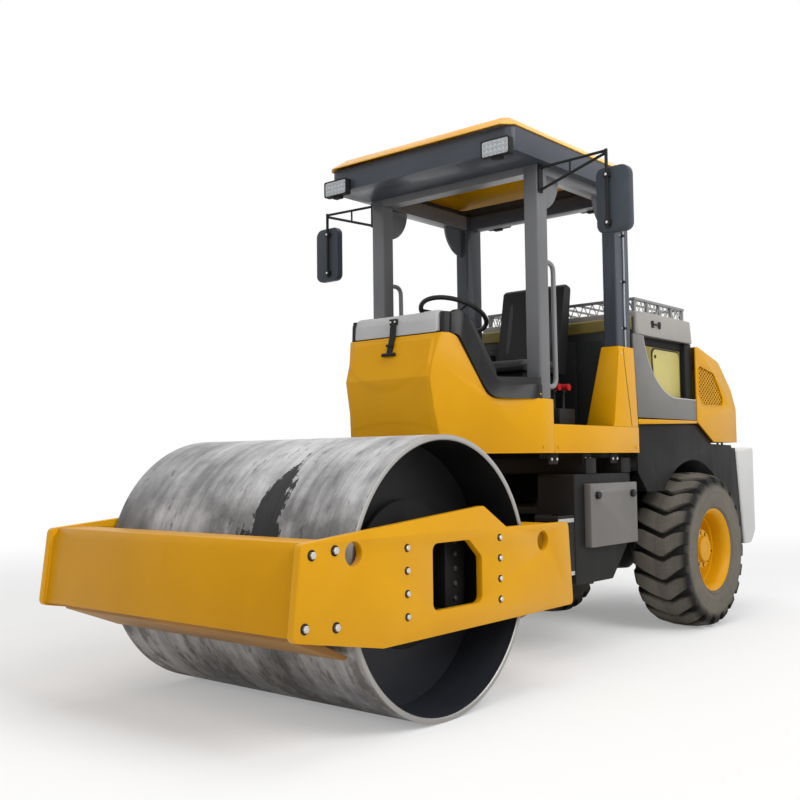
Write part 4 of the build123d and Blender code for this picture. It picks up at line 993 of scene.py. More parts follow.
def tube(name: str, path: Sequence[Point], radius: float, sides: int = 14, bend: int = 6) -> bpy.types.Mesh:
    """A bent tube along a path with rounded corners.

    Args:
        name: Name of the mesh.
        path: Corners of the path.
        radius: Radius of the tube.
        sides: Sides round the tube.
        bend: Steps at each rounded corner.

    Returns:
        The mesh.
    """
    curve = bpy.data.curves.new(name, "CURVE")
    curve.dimensions = "3D"
    curve.bevel_depth = radius
    curve.bevel_resolution = max(1, sides // 4 - 1)
    curve.use_fill_caps = True
    spline = curve.splines.new("POLY")
    points = soften_path(path, radius * 4.0, bend)
    spline.points.add(len(points) - 1)
    for point, place in zip(spline.points, points):
        point.co = (*place, 1.0)
    holder = bpy.data.objects.new(name, curve)
    bpy.context.scene.collection.objects.link(holder)
    mesh = baked(holder)
    bpy.data.objects.remove(holder)
    mesh.materials.clear()
    return outward(mesh)


def soften_path(path: Sequence[Point], reach: float, bend: int) -> list[Vector]:
    """Round the corners of a stiff tube's path.

    Args:
        path: The path's corners.
        reach: How far from a corner the rounding starts.
        bend: Steps of each rounding.

    Returns:
        Points along the rounded path.
    """
    points = [Vector(path[0])]
    for i in range(1, len(path) - 1):
        here = Vector(path[i])
        back = Vector(path[i - 1]) - here
        ahead = Vector(path[i + 1]) - here
        cut = min(reach, back.length * 0.45, ahead.length * 0.45)
        start = here + back.normalized() * cut
        end = here + ahead.normalized() * cut
        for step in range(bend + 1):
            t = step / bend
            points.append(start * (1 - t) ** 2 + here * (2 * t * (1 - t)) + end * t ** 2)
    points.append(Vector(path[-1]))
    return points


def upright(mesh: bpy.types.Mesh, place: Vector, axis: Vector) -> bpy.types.Mesh:
    """Turn a mesh's +Z to an axis and move its origin to a place.

    Args:
        mesh: The mesh, made at the origin.
        place: Where its origin goes.
        axis: Where its +Z looks.

    Returns:
        The same mesh.
    """
    mesh.transform(Matrix.Translation(place) @ axis.to_track_quat("Z", "Y").to_matrix().to_4x4())
    return mesh


def circle(centre: Vector, radius: float, count: int, start: float = 0.0) -> list[Flat]:
    """Places on a circle about an axis along Y.

    Args:
        centre: A point on the axis.
        radius: The circle's radius.
        count: How many places there are.
        start: Where the first one is, as a share of a step.

    Returns:
        The places as (x, z).
    """
    turns = [2 * math.pi * (i + start) / count for i in range(count)]
    return [(centre.x + radius * math.cos(turn), centre.z + radius * math.sin(turn)) for turn in turns]


def ring(name: str, centre: Vector, axis: Vector, radius: float, thick: float) -> bpy.types.Mesh:
    """A round ring about an axis.

    Args:
        name: Name of the mesh.
        centre: Middle of the ring.
        axis: Its axis.
        radius: Radius of its middle line.
        thick: Radius of its bar.

    Returns:
        The mesh.
    """
    turns = [2 * math.pi * i / 14 for i in range(14)]
    section = [(thick * math.sin(turn), radius + thick * math.cos(turn)) for turn in turns]
    return outward(upright(lathe(name, section, ORIGIN, "Z", 72), centre, axis))


def smooth(share: float) -> float:
    """Smooth step of a number from 0 to 1."""
    held = min(1.0, max(0.0, share))
    return held * held * (3.0 - 2.0 * held)


def soften_rows(rows: Sequence[Sequence[float]], steps: int) -> list[tuple[float, ...]]:
    """Rows on a smooth curve through some given rows.

    Args:
        rows: Rows of as many numbers each.
        steps: Steps between two given rows.

    Returns:
        The finer rows.
    """
    fine = []
    last = len(rows) - 1
    for i in range(last):
        before, here, ahead, after = (rows[max(0, min(last, k))] for k in (i - 1, i, i + 1, i + 2))
        for step in range(steps):
            t = step / steps
            fine.append(tuple(
                0.5 * (2 * b + (c - a) * t + (2 * a - 5 * b + 4 * c - d) * t * t + (3 * b - a - 3 * c + d) * t ** 3)
                for a, b, c, d in zip(before, here, ahead, after)
            ))
    return fine + [tuple(rows[last])]


def inside(a: float, b: float, outline: Sequence[Flat], margin: float) -> bool:
    """Whether a point is in an outline, or nearer to it than a margin.

    Args:
        a: First coordinate.
        b: Second coordinate.
        outline: The outline's points.
        margin: How far outside still counts.

    Returns:
        True where it is.
    """
    here = Vector((a, b))
    odd = False
    near = False
    for i, (x, y) in enumerate(outline):
        u, v = outline[i - 1]
        if (y > b) != (v > b) and a < (u - x) * (b - y) / (v - y) + x:
            odd = not odd
        edge = Vector((x - u, y - v))
        t = min(1.0, max(0.0, (here - Vector((u, v))).dot(edge) / max(edge.length_squared, 1e-12)))
        near = near or (here - Vector((u, v)) - edge * t).length < margin
    return odd or near


def facing(mesh: bpy.types.Mesh, way: Vector) -> bpy.types.Mesh:
    """Turn all faces of an open sheet so that their mean looks one way.

    Args:
        mesh: The sheet, with its faces in one order.
        way: Where its front looks.

    Returns:
        The same mesh.
    """
    total = sum((face.normal * face.area for face in mesh.polygons), Vector((0, 0, 0)))
    if total.dot(way) < 0:
        mesh.flip_normals()
    return mesh


# ---------------------------------------------------------------- repeats by Geometry Nodes
class Head(Enum):
    """Heads that sit on a surface, as (sides, height as a share of the radius)."""

    HEX = (6, 0.62)
    ROUND = (20, 0.34)
    WASHER = (24, 0.10)
    CAP = (16, 0.8)


@dataclass(frozen=True)
class Seat:
    """Where one head or cell sits: the place on the surface, the way it points, and its radius or scale."""

    place: Point
    way: Point
    radius: float


class PointTree(Tree):
    """Geometry tree that puts a shape on every point of a mesh and gives it a finish."""

    def __init__(self, name: str, own: Mapping[str, str]) -> None:
        """Make the tree with its named inputs.

        Args:
            name: Name of the node group.
            own: Inputs besides the points and the finish, as title and socket type.
        """
        group = bpy.data.node_groups.new(name, "GeometryNodeTree")
        super().__init__(group)
        titles = {"Points": "NodeSocketGeometry", **own, "Finish": "NodeSocketMaterial"}
        face = group.interface
        self.keys = {
            title: face.new_socket(title, in_out="INPUT", socket_type=kind).identifier for title, kind in titles.items()
        }
        face.new_socket("Result", in_out="OUTPUT", socket_type="NodeSocketGeometry")
        start = group.nodes.new("NodeGroupInput")
        self.given = {title: Sock(self, start.outputs[i]) for i, title in enumerate(titles)}

    def attribute(self, name: str, kind: str) -> Sock:
        """A named attribute of the points."""
        return self.node("GeometryNodeInputNamedAttribute", {"data_type": kind}, {"Name": name}, "Attribute")

    def close(self, shape: Sock, turn: Sock) -> None:
        """Place the shape, make it real and give it the finish.

        Args:
            shape: What sits on each point.
            turn: Its rotation there.
        """
        size = self.attribute("size", "FLOAT")
        wires = {"Points": self.given["Points"], "Instance": shape, "Rotation": turn, "Scale": size}
        placed = self.node("GeometryNodeInstanceOnPoints", {}, wires)
        real = self.node("GeometryNodeRealizeInstances", {}, {"Geometry": placed})
        dressed = self.node("GeometryNodeSetMaterial", {}, {"Geometry": real, "Material": self.given["Finish"]})
        end = self.tree.nodes.new("NodeGroupOutput")
        self.tree.links.new(dressed.socket, end.inputs[0])

    def spread(
        self, name: str, seats: Sequence[Seat], material: bpy.types.Material, values: Mapping[str, Any]
    ) -> bpy.types.Object:
        """Run the tree on seats and make the result one plain mesh.

        Args:
            name: Name of the piece.
            seats: Where the shapes sit.
            material: Their finish.
            values: The tree's own inputs by title.

        Returns:
            The piece.
        """
        mesh = mesh_of(name, [seat.place for seat in seats])
        mesh.attributes.new("way", "FLOAT_VECTOR", "POINT")
        mesh.attributes.new("size", "FLOAT", "POINT")
        for i, seat in enumerate(seats):
            mesh.attributes["way"].data[i].vector = Vector(seat.way).normalized()
            mesh.attributes["size"].data[i].value = seat.radius
        piece = link(name, mesh, material)
        modifier = piece.modifiers.new("spread", "NODES")
        modifier.node_group = self.tree
        for title, value in {**values, "Finish": material}.items():
            modifier[self.keys[title]] = value
        return settle(piece)


class FastenerTree(PointTree):
    """Geometry tree that puts one head on every point of a mesh."""

    crown_share = 0.22
    crown_top = 0.82

    def __init__(self) -> None:
        """Build the tree: a cylinder under a low cone."""
        super().__init__("fasteners", {"Sides": "NodeSocketInt", "Height": "NodeSocketFloat"})
        sides, height = self.given["Sides"], self.given["Height"]
        body = self.node("GeometryNodeMeshCylinder", {}, {"Vertices": sides, "Radius": 1.0, "Depth": height}, "Mesh")
        low = height * self.crown_share
        cone = {"Vertices": sides, "Radius Bottom": 1.0, "Radius Top": self.crown_top, "Depth": low}
        crown = self.node("GeometryNodeMeshCone", {}, cone, "Mesh")
        both = self.tree.nodes.new("GeometryNodeJoinGeometry")
        for shape, lift in ((crown, height), (body, height * 0.5)):
            move = self.node("ShaderNodeCombineXYZ", {}, {0: 0.0, 1: 0.0, 2: lift})
            moved = self.node("GeometryNodeTransform", {}, {"Geometry": shape, "Translation": move})
            self.tree.links.new(moved.socket, both.inputs[0])
        way = self.attribute("way", "FLOAT_VECTOR")
        turn = self.node("FunctionNodeAlignRotationToVector", {"axis": "Z"}, {"Vector": way})
        self.close(Sock(self, both.outputs[0]), turn)


class PatternTree(PointTree):
    """Geometry tree that repeats a cell on every point of a mesh."""

    def __init__(self) -> None:
        """Build the tree: each cell's Y stays as upright as it can."""
        super().__init__("pattern", {"Cell": "NodeSocketObject"})
        shape = self.node("GeometryNodeObjectInfo", {}, {"Object": self.given["Cell"]}, "Geometry")
        axes = {"primary_axis": "Z", "secondary_axis": "Y"}
        way = self.attribute("way", "FLOAT_VECTOR")
        self.close(shape, self.node("FunctionNodeAxesToRotation", axes, {0: way, 1: (0.0, 0.0, 1.0)}))


def hang(piece: bpy.types.Object, body: str, replaces: Sequence[str] = ()) -> bpy.types.Object:
    """Hang a finished piece on its body.

    Args:
        piece: The piece.
        body: The body that it rides on.
        replaces: CAD nodes that it stands for.

    Returns:
        The same piece.
    """
    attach(piece, body)
    if replaces:
        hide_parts(*replaces)
    return piece


@dataclass
class Workshop:
    """What every sub-assembly shares: the finishes and the two geometry trees."""

    finishes: FinishShelf
    fasteners: FastenerTree
    pattern: PatternTree
    washer_reach: float = 1.42
    washer_lift: float = 0.14

    def heads(
        self,
        name: str,
        seats: Sequence[Seat],
        head: Head,
        slot: Slot,
        look: Optional[Look] = None,
        body: str = REAR,
    ) -> None:
        """Put heads on seats as one piece.

        Args:
            name: Name of the piece.
            seats: Where the heads sit.
            head: Their shape.
            slot: The record's slot that they belong to.
            look: Another finish than the slot's own.
            body: The body that they ride on.
        """
        sides, tall = head.value
        material = self.finishes.made[look or slot]
        piece = self.fasteners.spread(name, seats, material, {"Sides": sides, "Height": tall})
        outward(piece.data, 1e-7)
        hang(shade(piece, 35.0), body)

    def cells(self, name: str, seats: Sequence[Seat], cell: bpy.types.Mesh, body: str, replaces: Sequence[str]) -> None:
        """Repeat a yellow cell on seats as one piece.

        Args:
            name: Name of the piece.
            seats: Where the cells sit.
            cell: The cell, facing +Z.
            body: The body that it rides on.
            replaces: CAD nodes that it stands for.
        """
        material = self.finishes.made[Slot.YELLOW]
        sample = link(f"{name}_cell", cell, material)
        piece = self.pattern.spread(name, seats, material, {"Cell": sample})
        bpy.data.objects.remove(sample)
        hang(shade(piece, 35.0), body, replaces)

    def bolts(self, name: str, seats: Sequence[Seat], body: str = REAR) -> None:
        """Zinc hexagon heads on dark washers.

        Args:
            name: Start of the pieces' names.
            seats: Where they sit.
            body: The body that they ride on.
        """
        washers = [Seat(seat.place, seat.way, seat.radius * self.washer_reach) for seat in seats]
        heads = []
        for seat in seats:
            lift = Vector(seat.way).normalized() * seat.radius * self.washer_lift
            heads.append(Seat(tuple(Vector(seat.place) + lift), seat.way, seat.radius))
        self.heads(f"{name}_washers", washers, Head.WASHER, Slot.DARK, body=body)
        self.heads(f"{name}_bolts", heads, Head.HEX, Slot.BARE, Look.ZINC, body)

    def piece(
        self,
        name: str,
        shape: Union[bpy.types.Mesh, Sequence[bpy.types.Mesh]],
        slot: Slot,
        look: Optional[Look] = None,
        width: float = 0.0,
        replaces: Sequence[str] = (),
        body: str = REAR,
    ) -> bpy.types.Object:
        """Finish one piece and hang it on its body.

        Args:
            name: Name of the piece.
            shape: Its mesh, or meshes to join, in place.
            slot: The record's slot that it belongs to.
            look: Another finish than the slot's own.
            width: Width of its rounded edges, or 0.
            replaces: CAD nodes that it stands for.
            body: The body that it rides on.

        Returns:
            The piece.
        """
        mesh = shape if isinstance(shape, bpy.types.Mesh) else join(name, shape)
        made = link(name, mesh, self.finishes.made[look or slot])
        if width:
            round_edges(made, width)
        else:
            shade(made)
        return hang(made, body, replaces)


# ---------------------------------------------------------------- sheet metal carried over with soft edges
@dataclass
class SoftPanels:
    """Copies of CAD panels whose sharp edges are rounded as pressed and welded sheet is."""

    shop: Workshop
    widths: Mapping[float, Sequence[str]] = field(default_factory=lambda: {
        0.002: ("scrapers", "steps"),
        0.003: ("side_plates", "fenders", "bulkhead", "chassis", "rops_frame", "bay_frame", "bay_sills", "floor_mat",
                "drum_mounts", "rear_axle"),
        0.004: ("rear_beam", "platform", "swoosh_panels", "battery_cover", "battery_box", "seat_base", "cowl_liner",
                "inner_panels", "radiator", "hitch"),
        0.005: ("canopy_frame", "hood", "lever_console"),
        0.006: ("front_beam", "cowl", "pillar_bases", "shroud", "fuel_tank", "engine"),
        0.008: ("canopy_skin",),
        0.012: ("counterweight",),
    })
    looks: Mapping[str, Look] = field(default_factory=lambda: {
        # scrapers: yellow darkened for dirt and painted shadow under the beam.
        "shroud": Look.TAUPE, "inner_panels": Look.OLIVE, "canopy_frame": Look.SLATE, "scrapers": Look.DIRTY_SHADED_YELLOW,
        # front_beam: the yellow darkened as painted shade of its front faces.
        "front_beam": Look.SHADED_BEAM_YELLOW, "bulkhead": Look.BULKHEAD_GREY,
    })
    rear_posts: float = -0.30

    def build(self) -> None:
        """Make every copy."""
        body_of = {node: body for body, nodes in frame["record"]["behaviour"]["bodies"].items() for node in nodes}
        slot_of = {part["node"]: Slot(part["material_slot"]) for part in frame["record"]["subparts"]}
        for width, nodes in self.widths.items():
            for node in nodes:
                look = self.looks.get(node)
                made = self.shop.piece(
                    f"{node}_soft", self.cleaned(node), slot_of[node], look, width, (node,), body_of[node]
                )
                if node == "rops_frame":
                    self._part_posts(made.data)

    def _part_posts(self, mesh: bpy.types.Mesh) -> None:
        """Give the front posts a lighter grey than the rear ones.

        Args:
            mesh: The roof's frame.
        """
        mesh.materials.clear()
        for look in (Look.POST_GREY, Look.SLATE):
            mesh.materials.append(self.shop.finishes.made[look])
        for face in mesh.polygons:
            face.material_index = 1 if face.center.x < self.rear_posts else 0

    @staticmethod
    def cleaned(node: str) -> bpy.types.Mesh:
        """A CAD node's mesh, merged and freed of the lines inside its flat faces.

        Args:
            node: The CAD node.

        Returns:
            The new mesh.
        """
        mesh = frame["nodes"][node].data.copy()
        mesh.materials.clear()
        work = bmesh.new()
        work.from_mesh(mesh)
        bmesh.ops.remove_doubles(work, verts=work.verts, dist=2e-6)
        bmesh.ops.dissolve_limit(
            work, angle_limit=math.radians(0.6), use_dissolve_boundaries=False, verts=work.verts, edges=work.edges
        )
        work.to_mesh(mesh)
        work.free()
        return mesh


# ---------------------------------------------------------------- drum and its frame
@dataclass
class DrumDress:
    """The rolling drum: a turned shell with eased rims and dished heads."""

    shop: Workshop
    wall: float = 0.025
    ease: float = 0.005
    head_wall: float = 0.022
    head_depth: float = 0.290
    boss_radius: float = 0.150
    journal_radius: float = 0.0895
    head_bolts: int = 16
    bolt_circle: float = 0.2

    def build(self) -> None:
        """Make the shell, the heads and their bolts."""
        low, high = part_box("drum_shell")
        self.centre = middle("drum_shell")
        self.radius = (high.z - low.z) / 2
        self.half = (high.y - low.y) / 2
        self._shell()
        self._heads()

    def _shell(self) -> None:
        """Turn the shell and give its outside and rims their own finishes, and its inside the near-black painted shade.
        """
        r, h, e, inner = self.radius, self.half, self.ease, self.radius - self.wall
        section = [
            (-h + e, r), (h - e, r), (h - e * 0.3, r - e * 0.3), (h, r - e), (h, inner + e), (h - e, inner),
            (0.0, inner), (-h + e, inner), (-h, inner + e), (-h, r - e), (-h + e * 0.3, r - e * 0.3),
        ]
        mesh = lathe("drum_plate", section, self.centre, "Y", 240)
        for key in (Slot.DRUM, Look.DRUM_RIM, Look.DRUM_INSIDE_SHADE):
            mesh.materials.append(self.shop.finishes.made[key])
        for face in mesh.polygons:
            away = math.hypot(face.center.x - self.centre.x, face.center.z - self.centre.z)
            rim = abs(face.center.y - self.centre.y) > h - e * 0.9
            face.material_index = 1 if rim else (0 if away > r - self.wall / 2 else 2)
        self.shop.piece("drum_plate", mesh, Slot.DRUM, replaces=("drum_shell",), body="drum")

    def _heads(self) -> None:
        """Turn both heads with their journals, and bolt them."""
        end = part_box("drum_heads")[1].y
        disc = self.radius - self.wall
        face = self.half - self.head_depth
        journal, boss = self.journal_radius, self.boss_radius
        section = (
            (face - self.head_wall, 0.0), (face - self.head_wall, disc - 0.001), (face, disc - 0.001),
            (face - 0.004, disc - 0.05), (face - 0.004, 0.26), (face, 0.24), (face, boss + 0.004), (face + 0.008, boss),
            (face + 0.008, journal), (end - 0.005, journal), (end - 0.001, journal - 0.004), (end - 0.001, 0.0),
        )
        seats, meshes = [], []
        for side in SIDES:
            meshes.append(lathe("head", [(side * along, radius) for along, radius in section], self.centre, "Y", 120))
            for x, z in circle(self.centre, self.bolt_circle, self.head_bolts):
                seats.append(Seat((x, side * face, z), (0.0, side, 0.0), 0.014))
        # The heads take the inside's near-black painted shade.
        self.shop.piece("drum_ends", meshes, Slot.DARK, Look.DRUM_INSIDE_SHADE, replaces=("drum_heads",), body="drum")
        self.shop.bolts("drum_end", seats, "drum")


@dataclass
class DrumFrameDress:
    """Bolts, bearing caps, scraper bolts and welds of the drum's frame."""

    shop: Workshop
    corner_bolts: Sequence[Flat] = ((0.916, 0.820), (0.788, 0.829), (0.956, 0.544), (0.783, 0.528))
    row_x: float = 0.345
    row_z: Sequence[float] = (0.808, 0.711, 0.613, 0.515)
    cap_low: Flat = (-0.235, 0.48)
    cap_high: Flat = (-0.085, 0.85)
    cap_depths: Flat = (0.215, 0.130)
    cap_column: float = -0.155
    cap_bolts: Sequence[float] = (0.53, 0.60, 0.67, 0.74, 0.80)
    scraper_y: Sequence[float] = (0.70, 0.62, 0.0, -0.62, -0.70)
    weld: Sequence[Flat] = ((0.999, 0.515), (0.962, 0.82), (0.934, 0.866))
    plate_wall: float = 0.036

    def build(self) -> None:
        """Make everything that sits on the side plates and beams."""
        self.x = middle("drum_shell").x
        self.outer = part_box("side_plates")[1].y
        self._plate_bolts()
        self._bearing_caps()
        seats = [Seat((self.x + 0.765, y, 0.4895), (0.42, 0.0, -0.9), 0.012) for y in self.scraper_y]
        self.shop.bolts("scraper", seats, FRONT)
        self._weld_lines()

    def _plate_bolts(self) -> None:
        """Large bolts at the beam and four in a row each side of the window."""
        seats = []
        for side in SIDES:
            for along, height in self.corner_bolts:
                seats.append(Seat((self.x + along, side * self.outer, height), (0.0, side, 0.0), 0.0155))
            for height in self.row_z:
                for along in (self.row_x, -self.row_x):
                    seats.append(Seat((self.x + along, side * self.outer, height), (0.0, side, 0.0), 0.0122))
        self.shop.bolts("side_plate", seats, FRONT)

    def _bearing_caps(self) -> None:
        """Dark stepped plate with a column of bolts behind each window."""
        seats = []
        for name, side in zip(("left", "right"), SIDES):
            back, front = (side * (self.outer - depth) for depth in self.cap_depths)
            low, high = ((self.x + x, z) for x, z in (self.cap_low, self.cap_high))
            mesh = plate("cap", rectangle(low, high, 0.02), back, front)
            self.shop.piece(f"bearing_cap_{name}", mesh, Slot.DARK, width=0.004, body=FRONT)
            for height in self.cap_bolts:
                seats.append(Seat((self.x + self.cap_column, front, height), (0.0, side, 0.0), 0.013))
        self.shop.heads("bearing_cap_bolts", seats, Head.HEX, Slot.DARK, Look.SLATE, FRONT)

    def _weld_lines(self) -> None:
        """Weld beads between the front beam and the side plates."""
        inner = self.outer - self.plate_wall
        beads = [tube("bead", [(self.x + x, side * inner, z) for x, z in self.weld], 0.005, 8, 3) for side in SIDES]
        self.shop.piece("beam_welds", beads, Slot.YELLOW, body=FRONT)


# ---------------------------------------------------------------- wheels
@dataclass
class WheelDress:
    """A lugged tyre with wavy grooves on a dished rim with a bolted hub."""

    shop: Workshop
    name: str
    side: float
    lugs: int = 21
    turns: int = 1050
    depth: float = 0.034
    flare: float = 0.014
    shoulder_radius: float = 0.432
    half_groove: float = 0.0160
    profile: Sequence[tuple[float, float, int]] = (
        # (from the middle plane, radius, steps to the next row)
        (0.183, 0.2895, 2), (0.192, 0.296, 2), (0.1965, 0.312, 2), (0.2035, 0.335, 3), (0.2045, 0.380, 3),
        (0.2035, 0.424, 4), (0.2005, 0.458, 4), (0.1940, 0.484, 4), (0.1800, 0.5060, 5), (0.1540, 0.5195, 6),
        (0.0720, 0.5345, 5), (0.0, 0.5375, 0),
    )
    lining: Sequence[Flat] = ((-0.165, 0.282), (-0.145, 0.2645), (0.145, 0.2645), (0.165, 0.282))
    wall_rings: Sequence[Point] = (
        # (radius, from the middle plane, half the thickness)
        (0.303, 0.1930, 0.0052), (0.350, 0.2022, 0.0030), (0.402, 0.2024, 0.0030),
    )
    wave: Sequence[Flat] = (
        # (from the middle plane outwards, forward shift of the groove)
        (-0.21, 0.058), (-0.13, 0.034), (0.030, -0.034), (0.050, -0.036), (0.120, 0.010), (0.21, 0.052),
    )
    flange: Sequence[Flat] = (
        (0.1825, 0.274), (0.1865, 0.279), (0.1865, 0.285), (0.181, 0.2885), (0.173, 0.2845), (0.161, 0.2635),
    )
    dish: Sequence[Flat] = (
        (-0.168, 0.251), (-0.034, 0.247), (-0.040, 0.20), (-0.040, 0.0), (-0.014, 0.0), (-0.014, 0.186),
        (-0.008, 0.194), (0.010, 0.222), (0.020, 0.2285), (0.060, 0.231), (0.066, 0.2335), (0.069, 0.2405),
        (0.120, 0.2445), (0.150, 0.250), (0.166, 0.262),
    )
    hub: Sequence[Flat] = (
        (-0.012, 0.0), (-0.012, 0.128), (0.030, 0.128), (0.074, 0.134), (0.090, 0.136), (0.096, 0.131), (0.097, 0.094),
        (0.1005, 0.090), (0.118, 0.086), (0.123, 0.080), (0.1235, 0.050), (0.120, 0.046), (0.120, 0.0),
    )
    bolt_rows: Sequence[tuple[float, float, float, Head]] = (
        # (radius of the circle, from the middle plane outwards, size, head)
        (0.158, -0.014, 0.0130, Head.CAP), (0.1125, 0.0965, 0.0092, Head.HEX),
    )
    valve: Sequence[Point] = ((-0.105, 0.03, -0.015), (-0.15, 0.05, -0.02), (-0.205, 0.075, -0.03))

    def build(self) -> None:
        """Make the tyre with its rings, the rim with its hub, their bolts and the valve."""
        self.body = f"wheel_{self.name}"
        self.centre = middle(f"tyre_{self.name}")
        self._tyre()
        self._wall_rings()
        self._rim()
        self._bolts()
        self._valve()

    def _rows(self) -> list[Flat]:
        """Rows across the outside of the tyre, from the outer bead to the inner one."""
        half = []
        for (y, r, steps), (y2, r2, _) in zip(self.profile, self.profile[1:]):
            half += [(y + (y2 - y) * i / steps, r + (r2 - r) * i / steps) for i in range(steps)]
        return half + [(0.0, self.profile[-1][1])] + [(-y, r) for y, r in reversed(half)]

    def _shift(self, across: float) -> float:
        """Forward shift of a groove at a distance from the middle plane.

        Args:
            across: Distance from the middle plane, outwards.

        Returns:
            The shift in metres.
        """
        for (a, s), (a2, s2) in zip(self.wave, self.wave[1:]):
            if across <= a2:
                return s + (s2 - s) * min(1.0, max(0.0, (across - a) / (a2 - a)))
        return self.wave[-1][1]

    def _sunk(self, along: float, across: float, radius: float) -> float:
        """Depth of the tread's pattern below the outside.

        Args:
            along: Distance round the tread.
            across: Distance from the middle plane, outwards.
            radius: Radius of the outside there.

        Returns:
            The depth in metres.
        """
        pitch = 2 * math.pi * self.profile[-1][1] / self.lugs
        offset = (along - self._shift(across) + pitch / 2) % pitch - pitch / 2
        wide = self.half_groove + self.flare * smooth((abs(across) - 0.09) / 0.10)
        edge = smooth((abs(offset) - wide) / 0.0055)
        reach = smooth((radius - self.shoulder_radius) / 0.040)
        return self.depth * (1 - edge) * reach

    def _tyre(self) -> None:
        """Mesh the tyre row by row, with the grooves sunk along its normals."""
        rows = self._rows()
        normals = []
        for i in range(len(rows)):
            back, ahead = rows[max(0, i - 1)], rows[min(len(rows) - 1, i + 1)]
            way = Vector((ahead[0] - back[0], ahead[1] - back[1])).normalized()
            normals.append((abs(way.y), abs(way.x)))
        outline = [*rows, *self.lining]
        top = self.profile[-1][1]
        points, marks = [], []
        for i in range(self.turns):
            angle = 2 * math.pi * i / self.turns
            for k, (y, r) in enumerate(outline):
                if k < len(rows):
                    sunk = self._sunk(angle * top, y, r)
                    sideways, outwards = normals[k]
                    y -= sideways * math.copysign(sunk, y) * 0.35
                    r -= outwards * sunk + sideways * sunk * 0.2
                place = Vector((r * math.cos(angle), self.side * y, r * math.sin(angle)))
                points.append(self.centre + place)
                marks.append((angle * top, y))
        mesh = mesh_of(f"tread_{self.name}", points, quads(self.turns, len(outline), True))
        chart = mesh.uv_layers.new(name="round_and_across")
        for loop in mesh.loops:
            chart.data[loop.index].uv = marks[loop.vertex_index]
        outward(mesh, 1e-7)
        tyre = self.shop.piece(
            f"tread_{self.name}", mesh, Slot.TYRE, replaces=(f"tyre_{self.name}",), body=self.body
        )
        shade(tyre, 38.0)

    def _wall_rings(self) -> None:
        """Moulded rings on both walls of the tyre."""
        axis = Vector((0.0, 1.0, 0.0))
        rings = [
            ring("ring", self.centre + axis * way * across, axis, radius, thick)
            for radius, across, thick in self.wall_rings for way in SIDES
        ]
        self.shop.piece(f"wall_rings_{self.name}", rings, Slot.TYRE, body=self.body)

    def _rim(self) -> None:
        """Turn the rim and the hub."""
        squeezed = [(y * 0.98, r) for y, r in self.flange]
        section = squeezed + [(-y, r) for y, r in reversed(squeezed)] + list(self.dish)
        turned = [
            lathe("turned", [(self.side * y, r) for y, r in part], self.centre, "Y", steps)
            for part, steps in ((section, 128), (self.hub, 80))
        ]
        replaces = (f"rim_{self.name}",)
        self.shop.piece(f"rim_{self.name}_turned", turned, Slot.YELLOW, replaces=replaces, body=self.body)

    def _bolts(self) -> None:
        """Nuts on the dish and bolts on the hub, all on dark washers that stand in as painted shadow round them."""
        rows = {}
        for radius, across, size, head in self.bolt_rows:
            y = self.centre.y + self.side * across
            places = circle(self.centre, radius, 10, 0.3)
            rows[head] = [Seat((x, y, z), (0.0, self.side, 0.0), size) for x, z in places]
        for name, head in (("wheel_nuts", Head.CAP), ("hub_bolts", Head.HEX)):
            self.shop.heads(f"{name}_{self.name}", rows[head], head, Slot.YELLOW, body=self.body)
        # Dark washers under the yellow heads: painted shadow round each head.
        rings = [Seat(seat.place, seat.way, seat.radius * 1.5) for seat in rows[Head.HEX] + rows[Head.CAP]]
        self.shop.heads(f"hub_washers_{self.name}", rings, Head.WASHER, Slot.DARK, body=self.body)

    def _valve(self) -> None:
        """Bent valve stem between the hub and the rim."""
        path = [self.centre + Vector((x, self.side * y, z)) for x, y, z in self.valve]
        self.shop.piece(f"valve_{self.name}", tube("valve", path, 0.006, 12), Slot.BUFFER, body=self.body)


